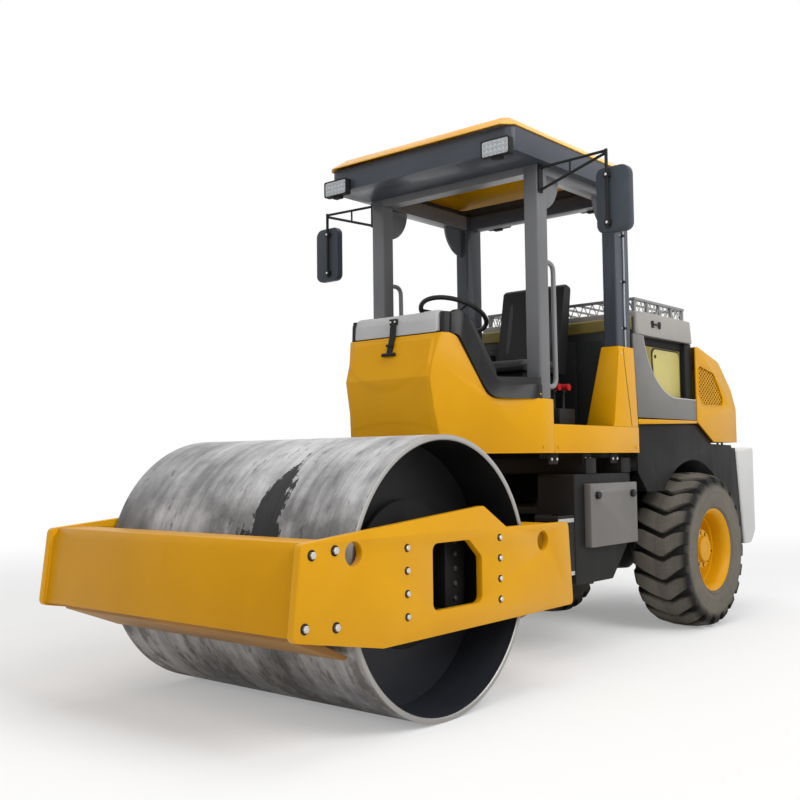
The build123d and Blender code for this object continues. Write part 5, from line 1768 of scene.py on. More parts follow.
# ---------------------------------------------------------------- roof, lamps, mirrors
@dataclass
class LampDress:
    """Work lamps: a dark housing with a bezel, a pale lens and rows of small reflectors."""

    shop: Workshop
    wide: float = 0.190
    high: float = 0.100
    deep: float = 0.046
    rear_y: float = 0.380
    lens_scale: Flat = (0.91, 0.84)
    grid: tuple[int, int] = (3, 6)
    pitch: Flat = (0.0265, 0.0275)
    foot_half: float = 0.030

    def build(self) -> None:
        """Make all four lamps in one piece of each finish."""
        low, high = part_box("work_lamps")
        self.z = high.z - self.high / 2
        self.housings, self.lenses, self.seats = [], [], []
        for end, face, y in ((1.0, high.x, high.y - self.wide / 2), (-1.0, low.x, self.rear_y)):
            for side in SIDES:
                self._lamp(end, face, side * y)
        self.shop.piece("lamp_housings", self.housings, Slot.DARK, width=0.0015, replaces=("work_lamps",))
        self.shop.piece("lamp_lenses", self.lenses, Slot.GLASS)
        self.shop.heads("lamp_reflectors", self.seats, Head.ROUND, Slot.GLASS, Look.CLEAR)

    def _lamp(self, end: float, face: float, y: float) -> None:
        """Add one lamp.

        Args:
            end: 1 for a lamp that looks forward, -1 for one that looks back.
            face: Where its front stands.
            y: Its middle.
        """
        z, half, tall = self.z, self.wide / 2, self.high / 2
        outline = rectangle((y - half, z - tall), (y + half, z + tall), 0.012, 4)
        inner = scaled(outline, (y, z), *self.lens_scale)
        front = face - end * 0.009
        self.housings.append(plate("housing", outline, face - end * (self.deep - 0.002), front, "X"))
        self.housings.append(self._bezel(outline, inner, front, face - end * 0.001))
        self.lenses.append(plate("lens", inner, face - end * 0.010, face - end * 0.005, "X"))
        rows, columns = self.grid
        for row in range(rows):
            for column in range(columns):
                across = (column - (columns - 1) / 2) * self.pitch[1]
                place = (face - end * 0.005, y + across, z + (row - (rows - 1) / 2) * self.pitch[0])
                self.seats.append(Seat(place, (end, 0.0, 0.0), 0.0115))
        foot = face - end * (self.deep + 0.001)
        bracket = rectangle((y - self.foot_half, z - tall - 0.014), (y + self.foot_half, z - tall + 0.003))
        self.housings.append(plate("foot", bracket, foot, foot + end * 0.036, "X"))

    @staticmethod
    def _bezel(outer: Sequence[Flat], inner: Sequence[Flat], back: float, front: float) -> bpy.types.Mesh:
        """Frame between two outlines.

        Args:
            outer: Outside corners as (y, z).
            inner: Inside corners, as many.
            back: Back of the frame.
            front: Front of the frame.

        Returns:
            The mesh.
        """
        loops = ((back, outer), (front, outer), (front, inner), (back, inner))
        points = [(x, y, z) for x, line in loops for y, z in line]
        return outward(mesh_of("bezel", points, quads(len(loops), len(outer), True)))


@dataclass
class MirrorDress:
    """Rounded mirrors on bent tube brackets with clamps."""

    shop: Workshop
    wide: float = 0.206
    tall: float = 0.364
    deep: float = 0.056
    rod_x: float = 0.072
    rod_inset: float = 0.024
    arms: Sequence[Flat] = ((0.072, 0.084), (-0.058, 0.072))

    def build(self) -> None:
        """Make both mirrors."""
        self.low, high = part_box("mirrors")
        self.y = high.y - self.wide / 2
        self.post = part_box("rops_frame")[1].y
        self.shells, self.glasses, self.tubes, self.seats = [], [], [], []
        for side in SIDES:
            self._head(side)
            self._bracket(side)
        shell = Look.MIRROR_SHELL
        self.shop.piece("mirror_shells", self.shells, Slot.BLACK_PLASTIC, shell, 0.012, ("mirrors",))
        self.shop.piece("mirror_glasses", self.glasses, Slot.GLASS, Look.MIRROR)
        self.shop.piece("mirror_arms", self.tubes, Slot.DARK)
        self.shop.heads("mirror_bolts", self.seats, Head.HEX, Slot.BARE, Look.ZINC)

    def _head(self, side: float) -> None:
        """Add the shell and the glass of one side.

        Args:
            side: 1 for the left, -1 for the right.
        """
        back, bottom, top = self.low.x, self.low.z, self.low.z + self.tall
        left, right = self.y - self.wide / 2, self.y + self.wide / 2
        corners = [(left, bottom, 0.045), (right, bottom, 0.045), (right, top, 0.055), (left, top, 0.045)]
        outline = [(side * y, z) for y, z in rounded(corners, 7)]
        self.shells.append(plate("shell", outline, back + 0.002, back + self.deep, "X"))
        inner = scaled(outline, (side * self.y, (bottom + top) / 2), 0.90, 0.94)
        self.glasses.append(plate("glass", inner, back, back + 0.004, "X"))

    def _bracket(self, side: float) -> None:
        """Add the rod, the arms, the brace, the clamps and the pad of one side.

        Args:
            side: 1 for the left, -1 for the right.
        """
        bottom, top = self.low.z, self.low.z + self.tall
        x, y, post = self.low.x + self.rod_x, side * (self.y - self.rod_inset), self.post
        self.tubes.append(tube("rod", [(x, y, bottom + 0.02), (x, y, top + 0.093)], 0.0095))
        for at_post, at_rod in self.arms:
            ends = [(x, side * (post + 0.002), top + at_post), (x, y, top + at_rod)]
            self.tubes.append(tube("arm", ends, 0.0085))
        brace = [(x, side * (post + 0.20), top + 0.074), (x, side * (post + 0.20), top - 0.002)]
        self.tubes.append(tube("brace", brace, 0.006))
        for z in (bottom + 0.05, top - 0.05):
            start = (self.low.x + self.deep - 0.002, y - 0.016, z - 0.014)
            self.tubes.append(block("clamp", start, (x + 0.008, y + 0.016, z + 0.014)))
            self.seats.append(Seat((x + 0.008, y, z), (1.0, 0.0, 0.0), 0.008))
        pad = (x - 0.021, side * post, top - 0.07)
        self.tubes.append(block("pad", pad, (x + 0.021, side * (post + 0.009), top + 0.088)))


@dataclass
class CabDress:
    """Grab rails, the clear hoses on the rear posts, the steering wheel and the levers."""

    shop: Workshop
    rail_radius: float = 0.0145
    rail_flange: Sequence[Flat] = ((0.0, 0.0), (0.0, 0.026), (-0.006, 0.026), (-0.008, 0.022), (-0.008, 0.0))
    hose_bends: Sequence[Flat] = ((0.0, -0.01), (0.004, 0.25), (-0.002, 0.5), (0.0, 0.80))
    clip_heights: Sequence[float] = (0.12, 0.42, 0.72)
    wheel_axis: Point = (-0.42, 0.0, 0.9)
    wheel_height: float = 2.065
    wheel_radius: float = 0.205
    spokes: Sequence[float] = (90.0, 210.0, 330.0)
    horn_cap: Sequence[Flat] = ((-0.020, 0.0), (-0.020, 0.034), (0.004, 0.036), (0.010, 0.030), (0.012, 0.0))
    column_foot: Sequence[Flat] = ((-0.53, 0.0), (-0.53, 0.041))
    column_neck: Sequence[Flat] = ((-0.17, 0.040), (-0.02, 0.030), (-0.02, 0.0))
    column_ribs: int = 12
    knob: Sequence[Flat] = (
        (-0.024, 0.0), (-0.024, 0.0215), (0.0, 0.0235), (0.018, 0.0225), (0.026, 0.014), (0.028, 0.0),
    )
    handles: Sequence[Flat] = ((0.150, 0.380), (0.090, 0.410))
    handle_lift: float = 0.283
    stud_x: Sequence[float] = (0.045, 0.105, 0.165)

    def build(self) -> None:
        """Make all of it."""
        self._grab_rails()
        self._post_hoses()
        self._steering_wheel()
        self._handles()

    def _grab_rails(self) -> None:
        """Bent tubes behind the front posts, with their foot flanges."""
        low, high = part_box("grab_rails")
        radius = self.rail_radius
        top, bottom = high.z - radius, low.z + radius
        rails = []
        for side in SIDES:
            y = side * (high.y - radius)
            path = [(high.x, y, top), (low.x + 0.022, y, top), (low.x + radius, y, bottom), (high.x, y, bottom)]
            rails.append(tube("rail", path, radius, 20, 10))
            for z in (top, bottom):
                rails.append(lathe("flange", self.rail_flange, Vector((high.x, y, z)), "X", 32))
        self.shop.piece("grab_rails_bent", rails, Slot.DARK, Look.RAIL_GREY, replaces=("grab_rails",))

    def _post_hoses(self) -> None:
        """A clear washer hose in clips along the outer face of each rear post."""
        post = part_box("rops_frame")[1].y
        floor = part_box("pillar_bases")[1].z
        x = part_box("rops_frame")[0].x + 0.085
        hoses, clips, seats = [], [], []
        for side in SIDES:
            y = side * (post + 0.006)
            hoses.append(tube("hose", [(x + dx, y, floor + dz) for dx, dz in self.hose_bends], 0.0055, 12, 8))
            for z in (floor + height for height in self.clip_heights):
                start = (x - 0.016, side * post, z - 0.008)
                clips.append(block("clip", start, (x + 0.014, side * (post + 0.0125), z + 0.008)))
                seats.append(Seat((x + 0.030, side * post, z), (0.0, side, 0.0), 0.006))
        self.shop.piece("post_hoses", hoses, Slot.GLASS, Look.CLEAR)
        self.shop.piece("hose_clips", clips, Slot.DARK, width=0.001)
        self.shop.heads("clip_screws", seats, Head.ROUND, Slot.BARE, Look.ZINC)

    def _steering_wheel(self) -> None:
        """Wheel with three spokes and a horn cap on a ribbed column with its foot."""
        axis = Vector(self.wheel_axis).normalized()
        hub = Vector((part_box("rops_frame")[1].x - 0.029, 0.0, self.wheel_height))
        across = Vector((0.0, 1.0, 0.0))
        over = axis.cross(across)
        parts = [ring("wheel", hub - axis * 0.004, axis, self.wheel_radius, 0.0145)]
        for turn in map(math.radians, self.spokes):
            way = across * math.cos(turn) + over * math.sin(turn)
            path = [hub + way * 0.03 - axis * 0.006, hub + way * (self.wheel_radius - 0.004) - axis * 0.004]
            parts.append(tube("spoke", path, 0.008))
        column = list(self.column_foot)
        for along in (-0.50 + i * 0.026 for i in range(self.column_ribs)):
            column += [(along, 0.0415), (along + 0.013, 0.036)]
        for section in (self.horn_cap, column + list(self.column_neck)):
            parts.append(upright(lathe("turned", section, ORIGIN, "Z", 48), hub, axis))
        self.shop.piece("steering_wheel", parts, Slot.BLACK_PLASTIC, replaces=("steering_column",))
        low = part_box("steering_column")[0].z
        foot = block("foot", (hub.x + 0.133, -0.11, low), (hub.x + 0.253, 0.11, low + 0.25))
        self.shop.piece("column_foot", foot, Slot.BLACK_PLASTIC, width=0.012)

    def _handles(self) -> None:
        """Red T-handles at the left door, black knobs on the console and studs on its side."""
        low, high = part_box("lever_console")
        foot, console = low.z - 0.008, middle("lever_console").x
        handles, knobs = [], []
        for dx, y in self.handles:
            x, z = console + dx, foot + self.handle_lift
            handles.append(tube("bar", [(x, y - 0.045, z), (x, y + 0.045, z)], 0.0215, 20))
        for dx in (0.120, 0.040):
            knobs.append(lathe("knob", self.knob, Vector((console + dx, -0.370, high.z - 0.024)), "Z", 32))
        studs = [Seat((console + dx, 0.452, foot + 0.10), (0.0, 1.0, 0.0), 0.007) for dx in self.stud_x]
        self.shop.piece("red_handles", handles, Slot.BLACK_PLASTIC, Look.RED)
        self.shop.piece("console_knobs", knobs, Slot.BLACK_PLASTIC)
        self.shop.heads("handle_studs", studs, Head.ROUND, Slot.BARE, Look.ZINC)


# ---------------------------------------------------------------- cowl
@dataclass
class CowlDress:
    """Pressed nose, gloss-black cheeks, the grey lid with its strap, and the folded lower edge."""

    shop: Workshop
    half: float = 0.315
    side: float = 0.650
    flare_back: float = 0.543
    flare_front: float = 1.053
    nose_foot: float = 1.215
    nose_break: float = 1.635
    nose_top: float = 1.880
    nose_x: Point = (1.013, 1.086, 1.017)
    nose_low: float = 1.230
    nose_high: float = 1.866
    nose_half: float = 0.304
    # Height in the middle and how far it rises or falls to the sides
    crease: Flat = (1.556, 0.135)
    field_top: Flat = (1.405, -0.035)
    proud: float = 0.0065
    sunk: float = 0.0022
    skin_lift: float = 0.0028
    cheek_deep: float = 0.040
    cheek_tip: float = 0.012
    # Lower and upper edge of the cheek's trim, from the lid backwards: (x, z, x above, z above)
    cheek: Sequence[tuple[float, float, float, float]] = (
        (0.968, 1.874, 0.962, 1.990), (0.955, 1.872, 0.925, 2.010), (0.938, 1.858, 0.885, 1.996),
        (0.914, 1.805, 0.862, 1.950), (0.880, 1.728, 0.838, 1.872), (0.842, 1.640, 0.803, 1.772),
        (0.812, 1.572, 0.760, 1.690), (0.780, 1.532, 0.712, 1.636), (0.730, 1.520, 0.655, 1.612),
        (0.640, 1.519, 0.590, 1.606), (0.500, 1.519, 0.496, 1.604),
    )
    lid_line: Sequence[Point] = (
        (1.016, 1.8855, 0.002), (1.010, 1.958, 0.03), (0.990, 2.012, 0.035), (0.940, 2.010, 0.04),
        (0.891, 1.966, 0.008), (0.899, 1.951, 0.004), (0.945, 1.930, 0.02), (0.990, 1.8855, 0.004),
    )
    # Stations from the lid's middle to its end: (y, share that the outline shrinks by)
    lid_stations: Sequence[Flat] = ((0.19, 0.0), (0.20, 0.0), (0.290, 0.0), (0.300, 0.07), (0.304, 0.16))
    lid_middle: Flat = (0.955, 1.955)
    strap_line: Sequence[Flat] = (
        (1.0215, 1.965), (1.0265, 1.925), (1.0300, 1.885), (1.0400, 1.845), (1.0555, 1.800), (1.0620, 1.782),
    )
    corner_bolts: Sequence[Flat] = ((0.500, 1.250), (0.345, 1.250), (-0.600, 1.250))

    def build(self) -> None:
        """Make all of it."""
        self._nose()
        self._cheeks()
        self._lid()
        self._strap()
        self._folded_edge()
        self._bolts()

    def _plan(self, x: float) -> float:
        """Half width of the body at a station."""
        share = (x - self.flare_back) / (self.flare_front - self.flare_back)
        return self.side + (self.half - self.side) * min(1.0, max(0.0, share))

    def _front(self, z: float) -> float:
        """Where the nose's front stands at a height.

        Args:
            z: The height.

        Returns:
            Its place along X.
        """
        foot, crest, top = self.nose_x
        if z < self.nose_break:
            return foot + (crest - foot) * (z - self.nose_foot) / (self.nose_break - self.nose_foot)
        return crest - (crest - top) * (z - self.nose_break) / (self.nose_top - self.nose_break)

    def _nose(self) -> None:
        """Pressed sheet over the nose: a crease that dips in the middle and a shallow field below it."""
        wide, low, high, columns, rows = self.nose_half, self.nose_low, self.nose_high, 96, 110
        points = []
        for i in range(rows + 1):
            z = low + (high - low) * i / rows
            for k in range(columns + 1):
                y = -wide + 2 * wide * k / columns
                crease, field_top = (mid + rise * (y / wide) ** 2 for mid, rise in (self.crease, self.field_top))
                fade = smooth(min(wide - abs(y), high - z, z - low) / 0.020)
                proud = self.proud * smooth((z - crease) / 0.055) * (1.0 - 0.45 * smooth((z - crease) / 0.26))
                sunk = self.sunk * smooth((field_top - z) / 0.022)
                points.append((self._front(z) + 0.0006 + (self.skin_lift + proud - sunk) * fade, y, z))
        mesh = mesh_of("nose_pressing", points, quads(rows + 1, columns + 1, round_count=False))
        self.shop.piece("nose_pressing", facing(mesh, Vector((1, 0, 0))), Slot.YELLOW)

    def _cheeks(self) -> None:
        """Rounded gloss-black trim that swings from the lid down to the front posts."""
        meshes = []
        for side in SIDES:
            loops = []
            for x, z, x_up, z_up in soften_rows(self.cheek, 4):
                outer = side * (self._plan((x + x_up) / 2) - 0.0015)
                inner = side * (self._plan((x + x_up) / 2) - self.cheek_deep)
                way = Vector((x_up - x, z_up - z)).normalized() * self.cheek_tip
                # One side of the rounded edge: (share of the tip kept back, step in from the face)
                edge = ((1.0, 0.0), (0.3, 0.003), (0.0, 0.011))
                loop = [(x, outer, z)]
                loop += [(x_up - way.x * back, outer - side * step, z_up - way.y * back) for back, step in edge]
                loop += [(x_up - way.x * back, inner + side * step, z_up - way.y * back) for back, step in edge[::-1]]
                loops.append(loop + [(x, inner, z)])
            meshes.append(skin("cheek", loops))
        self.shop.piece("cheek_trims", meshes, Slot.BLACK_PLASTIC, Look.GLOSS_BLACK)

    def _lid(self) -> None:
        """Grey lid with rounded ends and a shallow pressed top."""
        outline = rounded(self.lid_line)
        stations = [(-y, shrink) for y, shrink in reversed(self.lid_stations)] + list(self.lid_stations)
        loops = []
        for y, shrink in stations:
            sink = 0.004 if abs(y) < 0.195 else 0.0
            keep = 1.0 - shrink * 0.5
            line = scaled(outline, self.lid_middle, keep, keep)
            loops.append([(x, y, z - (sink if flat[1] > 1.995 else 0.0)) for (x, z), flat in zip(line, outline)])
        barrel = [(-0.012, 0.0), (-0.012, 0.008), (0.012, 0.008), (0.012, 0.0)]
        barrels = [lathe("barrel", barrel, Vector((0.888, y, 1.958)), "Y", 20) for y in (0.240, -0.240)]
        meshes = [skin("lid", loops), *barrels]
        self.shop.piece(
            "instrument_lid", meshes, Slot.GREY_PLASTIC, Look.LID_GREY, replaces=("cowl_cover",), body="cowl_cover"
        )

    def _strap(self) -> None:
        """Rubber strap with a T-handle that holds the lid down on the nose."""
        thick, last = 0.0055, len(self.strap_line) - 1
        loops = []
        for i, (x, z) in enumerate(self.strap_line):
            wide = 0.019 if 0 < i < last else 0.015
            front, back = x + thick, x - thick
            corners = ((front, -wide), (front + 0.002, 0.0), (front, wide), (back, wide), (back, -wide))
            loops.append([(x, y, z) for x, y in corners])
        grip = tube("grip", [(1.0670, -0.048, 1.776), (1.0670, 0.048, 1.776)], 0.010, 16)
        hook = block("hook", (1.0480, -0.026, 1.822), (1.0600, 0.026, 1.836))
        anchor = block("anchor", (1.0100, -0.026, 1.948), (1.0270, 0.026, 1.982))
        meshes = [skin("strap", loops), grip, anchor]
        self.shop.piece("lid_strap", meshes, Slot.BUFFER, width=0.0015, body="cowl_cover")
        self.shop.piece("strap_hook", hook, Slot.DARK, width=0.002)
        seats = [Seat((1.0275, y, 1.965), (1.0, 0.0, 0.1), 0.006) for y in (-0.016, 0.016)]
        self.shop.heads("strap_screws", seats, Head.ROUND, Slot.BARE, Look.ZINC, "cowl_cover")

    def _folded_edge(self) -> None:
        """Fold along the lower edge of the cowl and the platform."""
        runs = (
            ((-0.640, self.side), (0.380, self.side)),
            ((0.386, self.side), (self.flare_back, self.side), (1.000, self._plan(1.0))),
        )
        # The fold's section: (step out from the side, z)
        section = ((-0.004, 1.2155), (0.0030, 1.2155), (0.0036, 1.2215), (-0.004, 1.2260))
        folds = [
            skin("fold", [[(x, side * (y + step), z) for step, z in section] for x, y in run])
            for side in SIDES for run in runs
        ]
        self.shop.piece("folded_edge", folds, Slot.YELLOW)

    def _bolts(self) -> None:
        """Small bolts at the lower corners of the body and at the cheeks' ends."""
        seats = []
        for side in SIDES:
            way = (0.0, side, 0.0)
            for x, z in self.corner_bolts:
                seats.append(Seat((x, side * (self.side + 0.0005), z), way, 0.009))
            seats.append(Seat((0.520, side * (self.side - 0.001), 1.545), way, 0.006))
        self.shop.heads("body_bolts", seats, Head.HEX, Slot.YELLOW)


# ---------------------------------------------------------------- rear posts' fairings, bulkhead and engine bay
@dataclass
class BayDress:
    """Seams, rims, inner panels and the wire guard of the engine bay."""

    shop: Workshop
    rail: Sequence[Flat] = (
        # Section of the bulkhead's rail from its front face and its top: (x, z)
        (-0.004, -0.086), (0.012, -0.080), (0.012, -0.012), (0.004, -0.001), (-0.018, -0.001), (-0.018, -0.086),
    )
    trims: Sequence[Flat] = ((-0.56, -0.20), (-0.18, 0.18), (0.20, 0.56))
    trim_heights: Flat = (1.42, 1.98)
    sweep: Sequence[Flat] = ((-1.2859, 1.590), (-0.9492, 1.680), (-0.7437, 1.986))
    sweep_start: Flat = (-1.528, 1.588)
    door: Sequence[Point] = (
        (-1.396, 1.512, 0.045), (-1.015, 1.512, 0.045), (-0.985, 1.920, 0.045), (-1.396, 1.920, 0.045),
    )
    door_middle: Flat = (-1.2, 1.716)
    catches: Sequence[Flat] = ((-1.030, 1.560), (-1.020, 1.870))
    handle_x: Flat = (-1.000, -0.900)
    handle_z: float = 2.075

    def build(self) -> None:
        """Make all of it."""
        self._fairing_seams()
        self._bulkhead_strip()
        self._sweep_rims()
        self._inner_panels()
        self._guard_wires()
        self._band_handles()

    def _fairing_seams(self) -> None:
        """Dark joint between the two sheets of each fairing, a ridge along its top, and a small plug."""
        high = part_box("pillar_bases")[1]
        seams, ridges, seats = [], [], []
        for side in SIDES:
            y = side * (high.y - 0.0012)
            seams.append(tube("seam", [(-0.462, y, high.z - 0.012), (-0.470, y, 1.80), (-0.553, y, 1.386)], 0.0032, 8))
            ridges.append(tube("ridge", [(-0.330, y, 1.400), (-0.402, y, high.z - 0.016)], 0.004, 8))
            seats.append(Seat((-0.440, side * (high.y - 0.001), high.z - 0.045), (0.0, side, 0.0), 0.008))
        self.shop.piece("fairing_seams", seams, Slot.DARK)
        self.shop.piece("fairing_ridges", ridges, Slot.YELLOW)
        self.shop.heads("fairing_plugs", seats, Head.ROUND, Slot.BARE, Look.ZINC)

    def _bulkhead_strip(self) -> None:
        """Painted rail along the bulkhead's top and a sheet of dark trim with pressed borders."""
        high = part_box("bulkhead")[1]
        strip = [(high.x + x, high.z + z) for x, z in self.rail]
        self.shop.piece("bulkhead_rail", plate("rail", strip, -0.600, 0.600), Slot.PALE, Look.OLIVE, 0.002)
        low_z, high_z = self.trim_heights
        panels = [
            plate("panel", rectangle((low_y, low_z), (high_y, high_z), 0.03), high.x - 0.001, high.x + 0.004, "X")
            for low_y, high_y in self.trims
        ]
        self.shop.piece("bulkhead_trim", panels, Slot.DARK, Look.TRIM_GREY, 0.002)

    def _sweep_rims(self) -> None:
        """Light rolled edge along the curve of each grey panel."""
        line = [self.sweep_start, *arc_through(*self.sweep, 28)]
        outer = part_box("swoosh_panels")[1].y - 0.003
        rims = [tube("rim", [(x, side * outer, z) for x, z in line], 0.0048, 10, 2) for side in SIDES]
        self.shop.piece("sweep_rims", rims, Slot.GREY, Look.RIM_LIGHT)

    def _inner_panels(self) -> None:
        """Pale rounded doors behind the opening, their dark seals and round catches."""
        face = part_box("inner_panels")[1].y
        outline = rounded(self.door, 6)
        wider = scaled(outline, self.door_middle, 1.055, 1.05)
        doors, seals, seats = [], [], []
        for side in SIDES:
            doors.append(plate("door", outline, side * (face - 0.001), side * (face + 0.008)))
            seals.append(plate("seal", wider, side * (face - 0.001), side * (face + 0.0035)))
            seats += [Seat((x, side * (face + 0.008), z), (0.0, side, 0.0), 0.012) for x, z in self.catches]
        self.shop.piece("bay_doors", doors, Slot.PALE, width=0.003)
        self.shop.piece("door_seals", seals, Slot.BLACK_PLASTIC)
        self.shop.heads("door_catches", seats, Head.ROUND, Slot.BLACK_PLASTIC)

    def _guard_wires(self) -> None:
        """Zigzag wires between the guard's rail and the band."""
        low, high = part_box("shroud_guard")
        heights = (low.z + 0.003, high.z - 0.012)
        wires = []
        for y in (high.y - 0.013, 0.013 - high.y):
            wires += self._zigzag((low.x + 0.02, y), (high.x - 0.02, y), 22, heights)
        for x in (low.x + 0.013, high.x - 0.013):
            wires += self._zigzag((x, low.y + 0.02), (x, high.y - 0.02), 34, heights)
        self.shop.piece("guard_wires", wires, Slot.GREY, Look.RIM_LIGHT)

    @staticmethod
    def _zigzag(start: Flat, end: Flat, steps: int, heights: Flat) -> list[bpy.types.Mesh]:
        """Straight wires that go up and down between two places.

        Args:
            start: The first place from above.
            end: The last place.
            steps: How many wires there are.
            heights: Lower and upper height of the zigzag.

        Returns:
            One mesh per wire.
        """
        line = [(*Vector(start).lerp(Vector(end), i / steps), heights[i % 2]) for i in range(steps + 1)]
        return [tube("wire", line[i:i + 2], 0.0034, 8) for i in range(steps)]

    def _band_handles(self) -> None:
        """Small black pull handle on each side of the band."""
        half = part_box("shroud")[1].y - 0.004
        (back, front), z = self.handle_x, self.handle_z
        handles = []
        for side in SIDES:
            y, out = side * half, side * (half + 0.010)
            path = [(back, y, z), (back, out, z), (front, out, z), (front, y, z)]
            handles.append(tube("handle", path, 0.006, 12))
            for x in (back, front):
                end = (x + 0.014, side * (half + 0.006), z + 0.023)
                handles.append(block("foot", (x - 0.014, y, z - 0.023), end))
        self.shop.piece("band_handles", handles, Slot.DARK)


# ---------------------------------------------------------------- hood
@dataclass
class HoodDress:
    """Yellow lattice of long diamond holes in the hood's sides, with a dark screen behind, and a grab bar."""

    shop: Workshop
    cell_x: float = 0.046
    cell_z: float = 0.032
    web: float = 0.0085
    lattice_start: Flat = (-2.03, 1.530)
    lattice_rows: int = 22
    lattice_columns: int = 14
    opening: Sequence[Point] = (
        (-1.576, 1.846, 0.030), (-1.844, 1.800, 0.060), (-2.000, 1.622, 0.040), (-1.992, 1.560, 0.030),
        (-1.642, 1.556, 0.060), (-1.576, 1.650, 0.040),
    )
    flange: Sequence[Flat] = ((0.001, 0.0), (0.001, 0.025), (-0.005, 0.025), (-0.007, 0.021), (-0.007, 0.0))
    bar_height: float = 1.435
    bar_half: float = 0.170
    bar_reach: float = 0.042

    def build(self) -> None:
        """Make the lattice, the rim round the opening, the screen and the grab bar."""
        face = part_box("hood_grilles")[1].y
        outline = rounded(self.opening, 6)
        wider = scaled(outline, mean(outline), 1.03, 1.03)
        spots = self._spots(outline)
        seats, screens, rims = [], [], []
        for side in SIDES:
            seats += [Seat((x, side * (face + 0.001), z), (0.0, side, 0.0), 1.0) for x, z in spots]
            screens.append(plate("screen", wider, side * (face - 0.012), side * (face - 0.009)))
            path = [(x, side * (face + 0.0075), z) for x, z in (*outline, outline[0])]
            rims.append(tube("rim", path, 0.0045, 8, 1))
        self.shop.cells("hood_lattice", seats, self._cell(), "hood", ("hood_grilles",))
        self.shop.piece("hood_screens", screens, Slot.DARK, Look.GLOSS_BLACK, body="hood")
        self.shop.piece("grille_rims", rims, Slot.YELLOW, body="hood")
        self._handle()

    def _handle(self) -> None:
        """Grab bar with foot flanges across the hood's back."""
        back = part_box("hood")[0].x
        z, half, reach = self.bar_height, self.bar_half, back - self.bar_reach
        path = [(back + 0.002, -half, z), (reach, -half, z), (reach, half, z), (back + 0.002, half, z)]
        parts = [tube("bar", path, 0.0105, 16)]
        parts += [lathe("flange", self.flange, Vector((back, y, z)), "X", 32) for y in (-half, half)]
        self.shop.piece("hood_handle", parts, Slot.BLACK_PLASTIC, body="hood")

    def _spots(self, outline: Sequence[Flat]) -> list[Flat]:
        """Middles of the cells inside an outline, every other row shifted by half a cell.

        Args:
            outline: The opening, as (x, z).

        Returns:
            The middles as (x, z).
        """
        spots = []
        for row in range(self.lattice_rows):
            z = self.lattice_start[1] + row * self.cell_z / 2
            for column in range(self.lattice_columns):
                x = self.lattice_start[0] + (column + 0.5 * (row % 2)) * self.cell_x
                if inside(x, z, outline, 0.012):
                    spots.append((x, z))
        return spots

    def _cell(self) -> bpy.types.Mesh:
        """One cell about the origin, facing +Z: a flat diamond web round a long hole, with sunk flanks."""
        a, b = self.cell_x / 2, self.cell_z / 2
        outer = self._diamond(a, b, 0.5, 0.5)
        hole = self._diamond(a - self.web * 0.85, b - self.web * 0.72, 0.55, 0.72)
        layers = ((outer, -0.004), (outer, 0.0), (hole, 0.0), (scaled(hole, (0.0, 0.0), 0.94, 0.94), -0.0065))
        points = [(x, y, height) for loop, height in layers for x, y in loop]
        return facing(mesh_of("lattice_cell", points, quads(len(layers), len(outer))), Vector((0, 0, 1)))

    @staticmethod
    def _diamond(a: float, b: float, u: float, v: float) -> list[Flat]:
        """Diamond of eight points.

        Args:
            a: Half its length.
            b: Half its height.
            u: Share of the length at the points between its corners.
            v: Share of the height there.

        Returns:
            The points.
        """
        return [(a * x, b * y) for x, y in (
            (1.0, 0.0), (u, v), (0.0, 1.0), (-u, v), (-1.0, 0.0), (-u, -v), (0.0, -1.0), (u, -v),
        )]


# ---------------------------------------------------------------- seat
@dataclass(frozen=True)
class Pad:
    """One stuffed pad: its start shape, its seams and where it goes."""

    name: str
    size: Point
    place: Point
    tilt: float
    columns: Sequence[float]
    rows: Sequence[float]
    stands_for: Sequence[str] = ()


